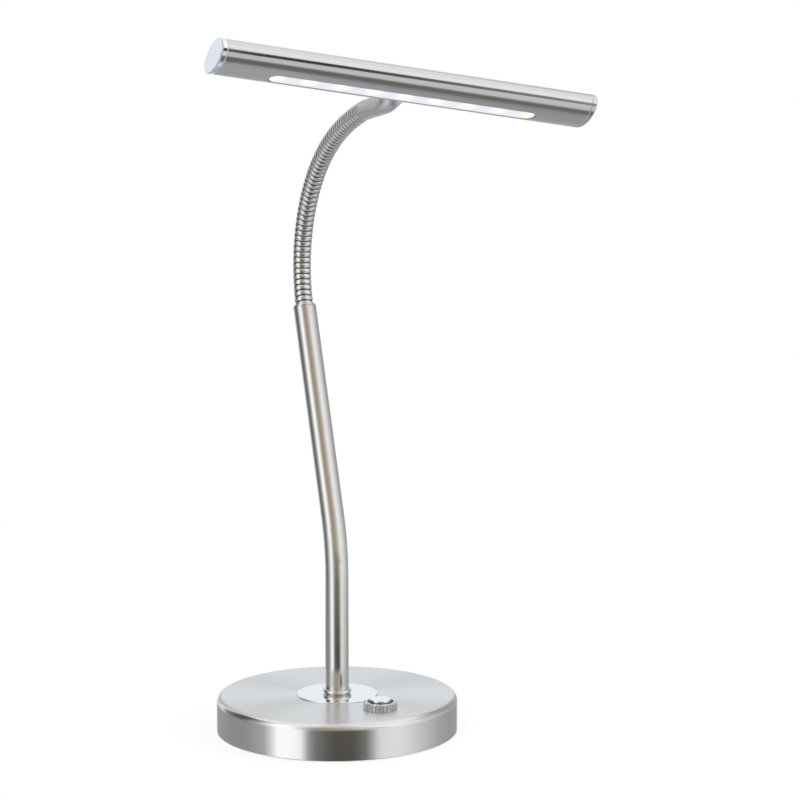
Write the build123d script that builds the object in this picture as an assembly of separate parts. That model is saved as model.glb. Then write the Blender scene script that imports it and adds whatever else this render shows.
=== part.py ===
from build123d import *
from math import cos, radians, sin, sqrt, tan
import os

# Piano lamp: a weighted round base with a push switch, a bent stem, a gooseneck
# and a flat oval LED head. The base stands on Z = 0, the head's bar lies along X,
# and the neck reaches forward, towards -Y. All sizes are in millimetres.

# Base: a turned steel shell over an iron weight, closed by a plate and a pad
BASE_D = 155.0
BASE_TOP_Z = 23.7
BASE_EDGE_R = 3.8
SHELL_WALL = 1.2
SHELL_LIFT = 0.8
PAD_T = 2.0
PAD_GAP = 0.9
PLATE_T = 2.0
PLATE_GAP = 0.4
WEIGHT_T = 11.5
WEIGHT_GAP = 0.9
BOSS_D = 40.0

# Screws that hold the plate to the weight
SCREW_COUNT = 4
SCREW_TO_WALL = 14.3
SCREW_D = 4.0
SCREW_HEAD_D = 7.6
SCREW_GRIP = 8.0

# Driver behind the stem: a tray, its board and what stands on the board
DRIVER_L = 56.0
DRIVER_W = 30.0
DRIVER_H = 10.0
DRIVER_WALL = 1.2
DRIVER_TO_WALL = 19.3
POCKET_GAP = 1.5
BOARD_T = 1.2
BOARD_LIFT = 2.4
BOARD_GAP = 0.4
CHOKE_SIZE = 11.0
CHOKE_H = 5.0
CHOKE_X = -14.0
CHIP_L = 6.0
CHIP_W = 5.0
CHIP_T = 1.6
CHIP_X = 2.0
CAPACITOR_D = 6.3
CAPACITOR_H = 5.4
CAPACITOR_X = 12.0
CAPACITOR_PITCH = 8.0
COMPONENT_SHIFT = 4.0

# Cord inlet at the back of the base
INLET_Z = 10.8
INLET_BORE_D = 5.2
GROMMET_D = 8.4
GROMMET_FLANGE_D = 11.0
GROMMET_FLANGE_T = 1.5
GROMMET_SLACK = 0.05

# Stem, its foot and the clamp that holds it to the weight
ESCUTCHEON_D = 52.4
ESCUTCHEON_T = 0.6
COLLAR_D = 18.4
COLLAR_H = 3.0
STEM_D = 15.0
STEM_WALL = 1.2
STEM_BEND_Z = 100.4
STEM_BEND_R = 110.0
STEM_LEAN = 20.5
STEM_UPPER = 138.9
BUSH_H = 14.0
NIPPLE_D = 10.0
NIPPLE_BORE_D = 6.0
NIPPLE_GAP = 0.2
NIPPLE_TOP_Z = 48.0
NIPPLE_REACH = 1.0
NUT_SINK = 0.6
NUT_AF = 17.0
NUT_H = 4.6
WASHER_D = 21.0
WASHER_T = 1.5
CLAMP_RECESS_D = 25.0

# Push switch on the front of the base
SWITCH_X = 11.2
SWITCH_TO_WALL = 30.3
RING_D = 21.2
RING_H = 4.8
RING_FLUTES = 28
RING_FLUTE_R = 0.8
BUTTON_D = 13.6
BUTTON_RISE = 6.4
BUTTON_SKIRT = 9.4
BUTTON_TRAVEL = 2.2
BUTTON_EDGE = 0.6
BUTTON_GAP = 0.08
PLUNGER_D = 5.0
PLUNGER_L = 5.2
SLEEVE_D = 16.6
SWITCH_BODY_D = 20.0
SWITCH_FLOOR_T = 1.5
SPRING_WIRE_D = 0.6
SPRING_D = 9.0
SPRING_TURNS = 4
SPRING_GAP = 0.05
SPRING_SEAT_DEPTH = 1.0
TERMINAL_W = 2.8
TERMINAL_T = 0.6
TERMINAL_L = 2.6
TERMINAL_SPACING = 7.0
TERMINAL_CLEARANCE = 1.4

# Leads
LEAD_D = 2.4
SWITCH_LEAD_D = 2.0
LEAD_BEND_R = 4.0
LEAD_LIFT = 0.3
LEAD_SLOT_GAP = 0.6
CHANNEL_W = 5.0
CHANNEL_H = 5.0
SWITCH_LEAD_X = 20.0

# Gooseneck: equal lengths that seat in each other on spherical noses
NECK_D = 12.0
NECK_GROOVE_D = 10.4
NECK_LENGTH = 188.0
NECK_SEGMENTS = 12
NECK_BEADS = 4
NECK_TURN = 96.3
NECK_CURVE_POWER = 1.57
NECK_BORE_D = 4.6
NOSE_R = 4.6
NOSE_REACH = 2.5
CUP_GAP = 0.15
SEGMENT_GAP = 1.0
BEAD_GROOVE = 0.5
TAIL_D = 9.8
TAIL_BORE_D = 3.8
TAIL_L = 8.0
SOCKET_L = 11.0
SOCKET_LIP = 1.6
SOCKET_EDGE = 1.2

# Ferrule at the neck's end and the swivel inside it
FERRULE_D = 12.4
FERRULE_L = 25.6
FERRULE_RISE = 7.6
FERRULE_CAVITY_D = 9.6
FERRULE_FACE_T = 6.0
FERRULE_SEAT_GAP = 1.0
SWIVEL_D = 7.1
SWIVEL_GAP = 0.05
SWIVEL_FACE_GAP = 0.3
SWIVEL_BORE_D = 3.6
RETAINER_D = 8.8
RETAINER_T = 3.0
SWIVEL_WASHER_T = 0.6
HEAD_ROLL = 7.8

# Stub that carries the head
STUB_TO_BEND = 10.0
STUB_BEND_R = 30.0
STUB_TO_EDGE = 11.6
STUB_SINK = 6.0
HEAD_RISE = 22.8
SPIGOT_D = 8.0
SPIGOT_ROOT = 4.0
SPIGOT_GAP = 0.1
STUB_NUT_D = 10.4
STUB_NUT_T = 4.0
STUB_NUT_GAP = 0.05

# Head: an oval tube with end caps, a light slot below and the LED carrier inside
HEAD_L = 236.0
HEAD_W = 33.0
HEAD_T = 17.0
HEAD_WALL = 1.2
CAP_T = 3.3
CAP_EDGE = 0.8
CAP_SPIGOT = 6.0
CAP_SPIGOT_WALL = 1.4
CAP_GAP = 0.1
SLOT_L = 168.0
SLOT_W = 10.0
SLOT_SHIFT = 1.5
SLOT_GAP = 0.1
LENS_RECESS = 0.8
LENS_GAP = 0.05
LENS_FLANGE_T = 0.8
LENS_FLANGE = 1.5
CARRIER_END_GAP = 0.7
CARRIER_TOP_Z = 1.5
CARRIER_T = 3.7
CARRIER_GAP = 0.15
CARRIER_NOTCH = 6.0
CARRIER_NOTCH_GAP = 2.0
LED_BOARD_END = 9.0
LED_BOARD_W = 10.0
LED_BOARD_T = 1.0
LED_COUNT = 9
LED_PITCH = 20.0
LED_SIZE = 3.2
LED_T = 0.8
LED_SCREW_PITCHES = 3.5
LED_SCREW_D = 2.5
LED_SCREW_HEAD_D = 4.4
LED_SCREW_HEAD_T = 1.2
LED_SCREW_GRIP = 3.0
HEAD_LEAD_X = 60.0
HEAD_LEAD_LIFT = 0.4
HEAD_LEAD_SIDE = 1.0
HEAD_LEAD_BENDS = [30.0, 5.0, 3.0]

# Heights and radii worked out from the above
BASE_R = BASE_D / 2
SHELL_IN_R = BASE_R - SHELL_WALL
CEIL_Z = BASE_TOP_Z - SHELL_WALL
PLATE_TOP_Z = PAD_T + PLATE_T
WEIGHT_TOP_Z = PLATE_TOP_Z + WEIGHT_T
SCREW_R = SHELL_IN_R - SCREW_TO_WALL
DRIVER_Y = SHELL_IN_R - DRIVER_TO_WALL - DRIVER_W / 2
SWITCH_Y = SWITCH_TO_WALL - SHELL_IN_R
LEAD_Z = PLATE_TOP_Z + LEAD_D / 2 + LEAD_LIFT
NUT_BOTTOM_Z = PLATE_TOP_Z + CHANNEL_H - NUT_SINK
NUT_TOP_Z = NUT_BOTTOM_Z + NUT_H
WASHER_TOP_Z = NUT_TOP_Z + WASHER_T
NIPPLE_BOTTOM_Z = NUT_BOTTOM_Z - NIPPLE_REACH
STEM_FOOT_Z = BASE_TOP_Z + ESCUTCHEON_T
STEM_IN_R = STEM_D / 2 - STEM_WALL
BUTTON_TOP_Z = BASE_TOP_Z + BUTTON_RISE
BUTTON_BOTTOM_Z = BUTTON_TOP_Z - BUTTON_SKIRT
SWITCH_SEAT_Z = BUTTON_BOTTOM_Z - BUTTON_TRAVEL - SPRING_SEAT_DEPTH
SWITCH_BOTTOM_Z = PLATE_TOP_Z + TERMINAL_L + TERMINAL_CLEARANCE
SEGMENT_L = NECK_LENGTH / NECK_SEGMENTS
HALF_W = HEAD_W / 2
HALF_T = HEAD_T / 2
IN_HALF_W = HALF_W - HEAD_WALL
IN_HALF_T = HALF_T - HEAD_WALL
STUB_NUT_SEAT = IN_HALF_W * sqrt(1 - (STUB_NUT_D / 2 / IN_HALF_T) ** 2) - STUB_NUT_GAP
LENS_FACE_Z = LENS_RECESS - HALF_T
LENS_FLANGE_W = SLOT_W + 2 * LENS_FLANGE
LENS_REAR_Y = SLOT_SHIFT + LENS_FLANGE_W / 2
LENS_SEAT_Z = LENS_GAP - IN_HALF_T * sqrt(1 - (LENS_REAR_Y / IN_HALF_W) ** 2)
CARRIER_L = HEAD_L - 2 * (CAP_T + CAP_SPIGOT + CARRIER_END_GAP)
LEDS_Z = CARRIER_TOP_Z - CARRIER_T - LED_BOARD_T
LED_ROW = LED_PITCH * (LED_COUNT - 1)
LED_BOARD_L = LED_ROW + 2 * LED_BOARD_END
LED_SCREW_X = LED_SCREW_PITCHES * LED_PITCH
UP = (Align.CENTER, Align.CENTER, Align.MIN)


# ---- Helpers -----------------------------------------------------------

def disc(diameter, bottom, top):
    """An upright disc between two heights."""
    return Pos(0, 0, bottom) * Cylinder(diameter / 2, top - bottom, align=UP)


def ring(outer, inner, bottom, top):
    """An upright ring between two heights."""
    return disc(outer, bottom, top) - disc(inner, bottom - 1, top + 1)


def block(x, y, bottom, top, length, width):
    """An upright block centred on x, y."""
    return Pos(x, y, bottom) * Box(length, width, top - bottom, align=UP)


def turned(points):
    """A closed outline of (radius, height) points, turned about Z."""
    outline = make_face(Polyline(*points, close=True))
    return revolve(Plane.XZ * outline, Axis.Z)


def rounded(shape, radius, place=-1):
    """The edges of the highest (or lowest) group, rounded."""
    return fillet(shape.edges().group_by(Axis.Z)[place], radius)


def wire_along(points, radii, diameter):
    """A round lead along straight runs joined by arcs."""
    path = FilletPolyline(*points, radius=radii)
    start = Plane(path @ 0, z_dir=path % 0)
    return sweep(start * Circle(diameter / 2), path=path)


def oval(half_width, half_height, start, end):
    """An oval bar along X, with its wide axis along Y."""
    face = Plane.YZ.offset(start) * Ellipse(half_width, half_height)
    return extrude(face, end - start)


def at_switch(shape):
    return Pos(SWITCH_X, SWITCH_Y, 0) * shape


# ---- Places along the neck ----------------------------------------------

def lean_vector(angle):
    """The unit vector at an angle from upright, positive leaning forward."""
    return Vector(0, -sin(radians(angle)), cos(radians(angle)))


def stem_corner():
    """Where the lines of the stem's two straight runs cross."""
    return Vector(0, 0, STEM_BEND_Z + STEM_BEND_R * tan(radians(STEM_LEAN / 2)))


def stem_top():
    """The middle of the stem's upper mouth."""
    run = STEM_BEND_R * tan(radians(STEM_LEAN / 2)) + STEM_UPPER
    return stem_corner() + lean_vector(-STEM_LEAN) * run


def neck_lean(index):
    """The lean of one length of the neck, from the stem's lean on."""
    share = (index + 0.5) / NECK_SEGMENTS
    return -STEM_LEAN + NECK_TURN * (1 - (1 - share) ** NECK_CURVE_POWER)


def neck_pivots():
    """The points where the neck's lengths meet, with both of its ends."""
    points = [stem_top()]
    for index in range(NECK_SEGMENTS):
        points.append(points[-1] + lean_vector(neck_lean(index)) * SEGMENT_L)
    return points


PIVOTS = neck_pivots()
STEM_MOUTH = Location(Plane(PIVOTS[0], x_dir=(1, 0, 0), z_dir=lean_vector(-STEM_LEAN)))
FERRULE_DIR = lean_vector(90 - FERRULE_RISE)
FERRULE_AT = Location(Plane(PIVOTS[-1], x_dir=(1, 0, 0), z_dir=FERRULE_DIR))
SWIVEL_AT = FERRULE_AT * Pos(0, 0, FERRULE_L) * Rot(0, 0, -HEAD_ROLL)


def head_place():
    """The middle of the head's bar, with its wide axis along local Y."""
    bend = SWIVEL_AT * Pos(0, 0, STUB_TO_BEND)
    bend = bend * Rot(FERRULE_RISE - HEAD_RISE, 0, 0)
    middle = bend * Pos(0, 0, STUB_TO_EDGE + HALF_W)
    return middle * Rot(-90, 0, 0)


HEAD_AT = head_place()


# ---- Base ----------------------------------------------------------------

def inlet_axis(shape):
    """A shape drawn about Z, laid along +Y at the cord inlet."""
    return Pos(0, 0, INLET_Z) * Rot(-90, 0, 0) * shape


def base_shell():
    outer = rounded(disc(BASE_D, SHELL_LIFT, BASE_TOP_Z), BASE_EDGE_R)
    hollow = disc(2 * SHELL_IN_R, SHELL_LIFT, CEIL_Z)
    hollow = rounded(hollow, BASE_EDGE_R - SHELL_WALL)
    shell = outer - hollow
    shell -= disc(NIPPLE_D + 2 * NIPPLE_GAP, CEIL_Z - 1, BASE_TOP_Z + 1)
    shell -= at_switch(disc(SLEEVE_D + 2 * NIPPLE_GAP, CEIL_Z - 1, BASE_TOP_Z + 1))
    return shell - inlet_axis(disc(GROMMET_D, SHELL_IN_R - 3, BASE_R + 3))


def screw_places():
    step = 360 / SCREW_COUNT
    return [Rot(0, 0, (i + 0.5) * step) * Pos(SCREW_R, 0, 0) for i in range(SCREW_COUNT)]


def base_weight():
    weight = disc(2 * (SHELL_IN_R - WEIGHT_GAP), PLATE_TOP_Z, WEIGHT_TOP_Z)
    weight += disc(BOSS_D, WEIGHT_TOP_Z - 1, CEIL_Z)
    weight -= disc(NIPPLE_D + 2 * NIPPLE_GAP, PLATE_TOP_Z, CEIL_Z + 1)
    weight -= disc(CLAMP_RECESS_D, PLATE_TOP_Z, WASHER_TOP_Z)
    pocket_l = DRIVER_L + 2 * POCKET_GAP
    pocket_w = DRIVER_W + 2 * POCKET_GAP
    weight -= block(0, DRIVER_Y, PLATE_TOP_Z, CEIL_Z + 1, pocket_l, pocket_w)
    weight -= at_switch(disc(SWITCH_BODY_D + 2 * POCKET_GAP, PLATE_TOP_Z, CEIL_Z + 1))
    channel_top = PLATE_TOP_Z + CHANNEL_H
    weight -= block(0, DRIVER_Y / 2, PLATE_TOP_Z, channel_top, CHANNEL_W, DRIVER_Y)
    run = DRIVER_Y - SWITCH_Y
    middle = (DRIVER_Y + SWITCH_Y) / 2
    weight -= block(SWITCH_LEAD_X, middle, PLATE_TOP_Z, channel_top, CHANNEL_W, run)
    reach = SWITCH_LEAD_X - SWITCH_X + CHANNEL_W / 2
    side = SWITCH_X + reach / 2
    weight -= block(side, SWITCH_Y, PLATE_TOP_Z, channel_top, reach, CHANNEL_W)
    notch_w = GROMMET_FLANGE_D + 2 * POCKET_GAP
    notch_mid = (DRIVER_Y + BASE_R) / 2
    weight -= block(0, notch_mid, PLATE_TOP_Z, CEIL_Z + 1, notch_w, BASE_R - DRIVER_Y)
    for place in screw_places():
        weight -= place * disc(SCREW_D, PLATE_TOP_Z, PLATE_TOP_Z + SCREW_GRIP)
    return weight


def screw_head(bottom, top):
    return turned([(0, bottom), (SCREW_HEAD_D / 2, bottom), (SCREW_D / 2, top), (0, top)])


def base_plate():
    plate = disc(2 * (SHELL_IN_R - PLATE_GAP), PAD_T, PLATE_TOP_Z)
    for place in screw_places():
        plate -= place * screw_head(PAD_T, PLATE_TOP_Z)
    return plate


def base_screws():
    screw = screw_head(PAD_T, PLATE_TOP_Z) + disc(SCREW_D, PLATE_TOP_Z, PLATE_TOP_Z + SCREW_GRIP)
    screw -= disc(SCREW_D / 2, PAD_T, PAD_T + PLATE_T / 2)
    return Compound([(place * screw).solid() for place in screw_places()])


def foot_pad():
    return rounded(disc(2 * (SHELL_IN_R - PAD_GAP), 0, PAD_T), PAD_T / 4, 0)


def driver_tray():
    tray = block(0, DRIVER_Y, PLATE_TOP_Z, PLATE_TOP_Z + DRIVER_H, DRIVER_L, DRIVER_W)
    inner_l = DRIVER_L - 2 * DRIVER_WALL
    inner_w = DRIVER_W - 2 * DRIVER_WALL
    floor = PLATE_TOP_Z + DRIVER_WALL
    tray -= block(0, DRIVER_Y, floor, PLATE_TOP_Z + DRIVER_H + 1, inner_l, inner_w)
    ledge_x = inner_l / 2 - DRIVER_WALL / 2
    for side in (-1, 1):
        tray += block(side * ledge_x, DRIVER_Y, floor, PLATE_TOP_Z + BOARD_LIFT, DRIVER_WALL, inner_w)
    wall_y = DRIVER_Y - (DRIVER_W - DRIVER_WALL) / 2
    slot_w = LEAD_D + LEAD_SLOT_GAP
    for x in (0, SWITCH_LEAD_X):
        tray -= block(x, wall_y, PLATE_TOP_Z, PLATE_TOP_Z + CHANNEL_H, slot_w, 2 * DRIVER_WALL)
    return tray


def driver_board():
    length = DRIVER_L - 2 * DRIVER_WALL - 2 * BOARD_GAP
    width = DRIVER_W - 2 * DRIVER_WALL - 2 * BOARD_GAP
    bottom = PLATE_TOP_Z + BOARD_LIFT
    return block(0, DRIVER_Y, bottom, bottom + BOARD_T, length, width)


def driver_components():
    """A choke, a chip and two capacitors on the driver board."""
    top = PLATE_TOP_Z + BOARD_LIFT + BOARD_T
    y = DRIVER_Y + COMPONENT_SHIFT
    choke = block(CHOKE_X, y, top, top + CHOKE_H, CHOKE_SIZE, CHOKE_SIZE)
    chip = block(CHIP_X, y, top, top + CHIP_T, CHIP_L, CHIP_W)
    parts = [choke.solid(), chip.solid()]
    for x in (CAPACITOR_X, CAPACITOR_X + CAPACITOR_PITCH):
        parts.append((Pos(x, y, 0) * disc(CAPACITOR_D, top, top + CAPACITOR_H)).solid())
    return Compound(parts)


def cable_grommet():
    groove_in = sqrt(SHELL_IN_R ** 2 - (GROMMET_FLANGE_D / 2) ** 2) - GROMMET_SLACK
    body = disc(GROMMET_D, groove_in - GROMMET_FLANGE_T, BASE_R + GROMMET_FLANGE_T)
    body += disc(GROMMET_FLANGE_D, groove_in - GROMMET_FLANGE_T, groove_in)
    body += disc(GROMMET_FLANGE_D, BASE_R, BASE_R + GROMMET_FLANGE_T)
    body = rounded(body, GROMMET_FLANGE_T / 2)
    return inlet_axis(body - disc(INLET_BORE_D, 0, BASE_D))


# ---- Stem ------------------------------------------------------------------

def escutcheon():
    plate = disc(ESCUTCHEON_D, BASE_TOP_Z, STEM_FOOT_Z)
    plate = rounded(plate, ESCUTCHEON_T / 2)
    return plate - disc(NIPPLE_D + 2 * NIPPLE_GAP, BASE_TOP_Z - 1, STEM_FOOT_Z + 1)


def stem_collar():
    collar = disc(COLLAR_D, STEM_FOOT_Z, STEM_FOOT_Z + COLLAR_H)
    collar = rounded(collar, (COLLAR_D - STEM_D) / 2 - 0.1)
    return collar - disc(STEM_D, STEM_FOOT_Z - 1, STEM_FOOT_Z + COLLAR_H + 1)


def stem_tube():
    foot = (0, 0, STEM_FOOT_Z)
    path = FilletPolyline(foot, stem_corner(), stem_top(), radius=STEM_BEND_R)
    section = Plane(path @ 0, z_dir=(0, 0, 1)) * (Circle(STEM_D / 2) - Circle(STEM_IN_R))
    return sweep(section, path=path)


def stem_bush():
    return ring(2 * STEM_IN_R, NIPPLE_D, STEM_FOOT_Z, STEM_FOOT_Z + BUSH_H)


def stem_nipple():
    return ring(NIPPLE_D, NIPPLE_BORE_D, NIPPLE_BOTTOM_Z, NIPPLE_TOP_Z)


def stem_washer():
    return ring(WASHER_D, NIPPLE_D + 2 * NIPPLE_GAP, NUT_TOP_Z, WASHER_TOP_Z)


def stem_nut():
    hexagon = extrude(RegularPolygon(NUT_AF / 2, 6, major_radius=False), NUT_H)
    nut = Pos(0, 0, NUT_BOTTOM_Z) * hexagon
    return nut - disc(NIPPLE_D, NUT_BOTTOM_Z - 1, NUT_TOP_Z + 1)


def stem_lead():
    """From the driver, below the nipple, up through the stem to its mouth."""
    start = (0, DRIVER_Y - DRIVER_W / 2 + DRIVER_WALL, LEAD_Z)
    end = stem_top() - lean_vector(-STEM_LEAN) * SOCKET_L
    points = [start, (0, 0, LEAD_Z), stem_corner(), end]
    return wire_along(points, [LEAD_BEND_R, STEM_BEND_R], LEAD_D)


# ---- Switch ------------------------------------------------------------------

def switch_housing():
    body = disc(SWITCH_BODY_D, SWITCH_BOTTOM_Z, CEIL_Z)
    body += disc(SLEEVE_D, CEIL_Z, BASE_TOP_Z + RING_H)
    body -= disc(BUTTON_D + 2 * BUTTON_GAP, SWITCH_SEAT_Z, BUTTON_TOP_Z)
    well = SWITCH_BOTTOM_Z + SWITCH_FLOOR_T
    body -= disc(PLUNGER_D + 2 * BUTTON_GAP, well, BUTTON_TOP_Z)
    return at_switch(body)


def switch_ring():
    top = BASE_TOP_Z + RING_H
    cap = rounded(disc(RING_D, BASE_TOP_Z, top), RING_FLUTE_R)
    flute = Pos((RING_D + RING_FLUTE_R) / 2, 0, 0) * disc(2 * RING_FLUTE_R, BASE_TOP_Z - 1, top + 1)
    for index in range(RING_FLUTES):
        cap -= Rot(0, 0, 360 * index / RING_FLUTES) * flute
    return at_switch(cap - disc(SLEEVE_D, BASE_TOP_Z - 1, top + 1))


def switch_button():
    body = rounded(disc(BUTTON_D, BUTTON_BOTTOM_Z, BUTTON_TOP_Z), BUTTON_EDGE)
    body += disc(PLUNGER_D, BUTTON_BOTTOM_Z - PLUNGER_L, BUTTON_BOTTOM_Z)
    seat = ring(SPRING_D + 2 * SPRING_WIRE_D, SPRING_D - 4 * SPRING_WIRE_D, 0, SPRING_SEAT_DEPTH)
    return at_switch(body - Pos(0, 0, BUTTON_BOTTOM_Z) * seat)


def switch_spring():
    """A coil from the housing's seat to the groove under the button."""
    room = BUTTON_BOTTOM_Z + SPRING_SEAT_DEPTH - SWITCH_SEAT_Z
    height = room - SPRING_WIRE_D - 2 * SPRING_GAP
    radius = (SPRING_D - SPRING_WIRE_D) / 2
    coil = Helix(pitch=height / SPRING_TURNS, height=height, radius=radius)
    section = Plane(coil @ 0, z_dir=coil % 0) * Circle(SPRING_WIRE_D / 2)
    spring = sweep(section, path=coil, is_frenet=True)
    return at_switch(Pos(0, 0, SWITCH_SEAT_Z + SPRING_WIRE_D / 2 + SPRING_GAP) * spring)


def switch_terminals():
    bottom = SWITCH_BOTTOM_Z - TERMINAL_L
    blades = []
    for x in (-TERMINAL_SPACING / 2, TERMINAL_SPACING / 2):
        blade = block(x, 0, bottom, SWITCH_BOTTOM_Z, TERMINAL_T, TERMINAL_W)
        blades.append(at_switch(blade).solid())
    return Compound(blades)


def switch_lead():
    """From the outer terminal, round the clamp's recess, to the driver."""
    z = PLATE_TOP_Z + SWITCH_LEAD_D / 2 + LEAD_LIFT
    first_x = SWITCH_X + (TERMINAL_SPACING + TERMINAL_T) / 2
    end_y = DRIVER_Y - DRIVER_W / 2 + DRIVER_WALL
    points = [(first_x, SWITCH_Y, z), (SWITCH_LEAD_X, SWITCH_Y, z), (SWITCH_LEAD_X, end_y, z)]
    return wire_along(points, LEAD_BEND_R, SWITCH_LEAD_D)


# ---- Gooseneck ------------------------------------------------------------

def bead_body(bottom, top):
    """A ribbed tube without its bore: one round bead after another."""
    pitch = SEGMENT_L / NECK_BEADS
    groove_r = NECK_GROOVE_D / 2
    edges = [Line((0, bottom), (groove_r, bottom))]
    last = (groove_r, bottom)
    for bead in range(NECK_BEADS):
        start = max(bead * pitch + BEAD_GROOVE / 2, bottom)
        stop = min((bead + 1) * pitch - BEAD_GROOVE / 2, top)
        if stop - start < pitch / 2:
            continue
        if last[1] < start - 0.001:
            edges.append(Line(last, (groove_r, start)))
        middle = (NECK_D / 2, (start + stop) / 2)
        edges.append(ThreePointArc((groove_r, start), middle, (groove_r, stop)))
        last = (groove_r, stop)
    if last[1] < top - 0.001:
        edges.append(Line(last, (groove_r, top)))
    edges += [Line((groove_r, top), (0, top)), Line((0, top), (0, bottom))]
    return revolve(Plane.XZ * make_face(edges), Axis.Z)


def neck_segment(index):
    """One length of the neck, with a cup at its start and a nose at its end."""
    first = index == 0
    last = index == NECK_SEGMENTS - 1
    bottom = SOCKET_LIP + SEGMENT_GAP if first else SEGMENT_GAP
    top = SEGMENT_L if last else SEGMENT_L - SEGMENT_GAP
    body = bead_body(bottom, top)
    if not first:
        body -= Sphere(NOSE_R + CUP_GAP)
    if not last:
        nose = Sphere(NOSE_R) & disc(4 * NOSE_R, -SEGMENT_GAP - 0.5, NOSE_REACH)
        body += Pos(0, 0, SEGMENT_L) * nose
    plane = Plane(PIVOTS[index], x_dir=(1, 0, 0), z_dir=lean_vector(neck_lean(index)))
    place = Location(plane)
    body = place * body
    bore = place * disc(NECK_BORE_D, 0, SEGMENT_L if last else SEGMENT_L + NOSE_REACH + 1)
    if first:
        body += STEM_MOUTH * disc(TAIL_D, -TAIL_L, bottom + SEGMENT_GAP)
        bore += STEM_MOUTH * disc(TAIL_BORE_D, -TAIL_L - 1, SEGMENT_GAP)
    if last:
        body += FERRULE_AT * disc(TAIL_D, -SEGMENT_GAP, TAIL_L)
        bore += FERRULE_AT * disc(TAIL_BORE_D, -SEGMENT_GAP, TAIL_L + 1)
    return body - bore


def neck_socket():
    """The bush in the stem's mouth, with a rolled lip round the neck."""
    lip = rounded(disc(STEM_D, 0, SOCKET_LIP), SOCKET_EDGE)
    body = lip + disc(2 * STEM_IN_R, -SOCKET_L, 0)
    body -= disc(TAIL_D, -TAIL_L, SOCKET_LIP + 1)
    return STEM_MOUTH * (body - disc(NECK_BORE_D, -SOCKET_L - 1, 0))


def neck_lead():
    """From the stem's mouth through every length to the swivel."""
    start = PIVOTS[0] - lean_vector(-STEM_LEAN) * (SOCKET_L - 0.2)
    end = PIVOTS[-1] + FERRULE_DIR * (FERRULE_L / 2)
    points = [start] + PIVOTS + [end]
    radii = []
    for before, here, after in zip(points, points[1:], points[2:]):
        turn = (here - before).get_angle(after - here)
        run = min((here - before).length, (after - here).length)
        radii.append(0.45 * run / tan(radians(turn / 2)))
    return wire_along(points, radii, LEAD_D)


# ---- Ferrule and swivel -----------------------------------------------------

def head_ferrule():
    body = disc(FERRULE_D, FERRULE_SEAT_GAP, FERRULE_L)
    body -= disc(TAIL_D, 0, TAIL_L)
    body -= disc(FERRULE_CAVITY_D, TAIL_L - 1, FERRULE_L - FERRULE_FACE_T)
    body -= disc(SWIVEL_D + 2 * SWIVEL_GAP, 0, FERRULE_L + 1)
    return FERRULE_AT * body


def swivel_washer():
    top = FERRULE_L - FERRULE_FACE_T
    return FERRULE_AT * ring(RETAINER_D, SWIVEL_D + 4 * SWIVEL_GAP, top - SWIVEL_WASHER_T, top)


def swivel_retainer():
    top = FERRULE_L - FERRULE_FACE_T - SWIVEL_WASHER_T - SWIVEL_GAP
    return SWIVEL_AT * Pos(0, 0, -FERRULE_L) * ring(RETAINER_D, SWIVEL_D, top - RETAINER_T, top)


def head_stub():
    """A bent stub: a swivel pin behind, and a saddle and spigot at the head."""
    inside = HEAD_AT * Pos(0, HALF_W - STUB_SINK, 0)
    start = SWIVEL_AT * Pos(0, 0, SWIVEL_FACE_GAP)
    bend = SWIVEL_AT * Pos(0, 0, STUB_TO_BEND)
    path = FilletPolyline(start.position, bend.position, inside.position, radius=STUB_BEND_R)
    stub = sweep(Plane(path @ 0, z_dir=path % 0) * Circle(FERRULE_D / 2), path=path)
    stub -= HEAD_AT * oval(HALF_W, HALF_T, -HALF_W, HALF_W)
    pin_l = FERRULE_FACE_T + SWIVEL_WASHER_T + SWIVEL_GAP + RETAINER_T
    stub += SWIVEL_AT * disc(SWIVEL_D, -pin_l, SWIVEL_FACE_GAP + 1)
    spigot = Rot(90, 0, 0) * disc(SPIGOT_D, -HALF_W - SPIGOT_ROOT, -STUB_NUT_SEAT + STUB_NUT_T)
    stub += HEAD_AT * spigot
    hole = FilletPolyline(
        (SWIVEL_AT * Pos(0, 0, -FERRULE_L)).position,
        bend.position,
        (HEAD_AT * Pos(0, -HALF_W, 0)).position,
        radius=STUB_BEND_R,
    )
    return stub - sweep(Plane(hole @ 0, z_dir=hole % 0) * Circle(SWIVEL_BORE_D / 2), path=hole)


def stub_nut():
    nut = ring(STUB_NUT_D, SPIGOT_D, -STUB_NUT_SEAT, -STUB_NUT_SEAT + STUB_NUT_T)
    return HEAD_AT * Rot(90, 0, 0) * nut


# ---- Head ---------------------------------------------------------------------

def slot_block(length, width, bottom, top):
    """A round-ended block in line with the slot, a little behind the middle."""
    return Pos(0, SLOT_SHIFT, bottom) * extrude(SlotOverall(length, width), top - bottom)


def head_shell():
    end = HEAD_L / 2 - CAP_T
    shell = oval(HALF_W, HALF_T, -end, end) - oval(IN_HALF_W, IN_HALF_T, -end - 1, end + 1)
    shell -= slot_block(SLOT_L, SLOT_W, -HALF_T - 1, LENS_SEAT_Z)
    shell -= Rot(90, 0, 0) * disc(SPIGOT_D + 2 * SPIGOT_GAP, -HALF_W - 1, 0)
    return HEAD_AT * shell


def end_cap(side):
    outer_end = HEAD_L / 2
    inner_end = outer_end - CAP_T
    cap = oval(HALF_W, HALF_T, inner_end, outer_end)
    cap = fillet(cap.edges().group_by(Axis.X)[-1], CAP_EDGE)
    spigot_w = IN_HALF_W - CAP_GAP
    spigot_t = IN_HALF_T - CAP_GAP
    spigot = oval(spigot_w, spigot_t, inner_end - CAP_SPIGOT, inner_end)
    bore = oval(spigot_w - CAP_SPIGOT_WALL, spigot_t - CAP_SPIGOT_WALL, 0, inner_end)
    cap += spigot - bore
    return HEAD_AT * (cap if side > 0 else Rot(0, 0, 180) * cap)


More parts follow.
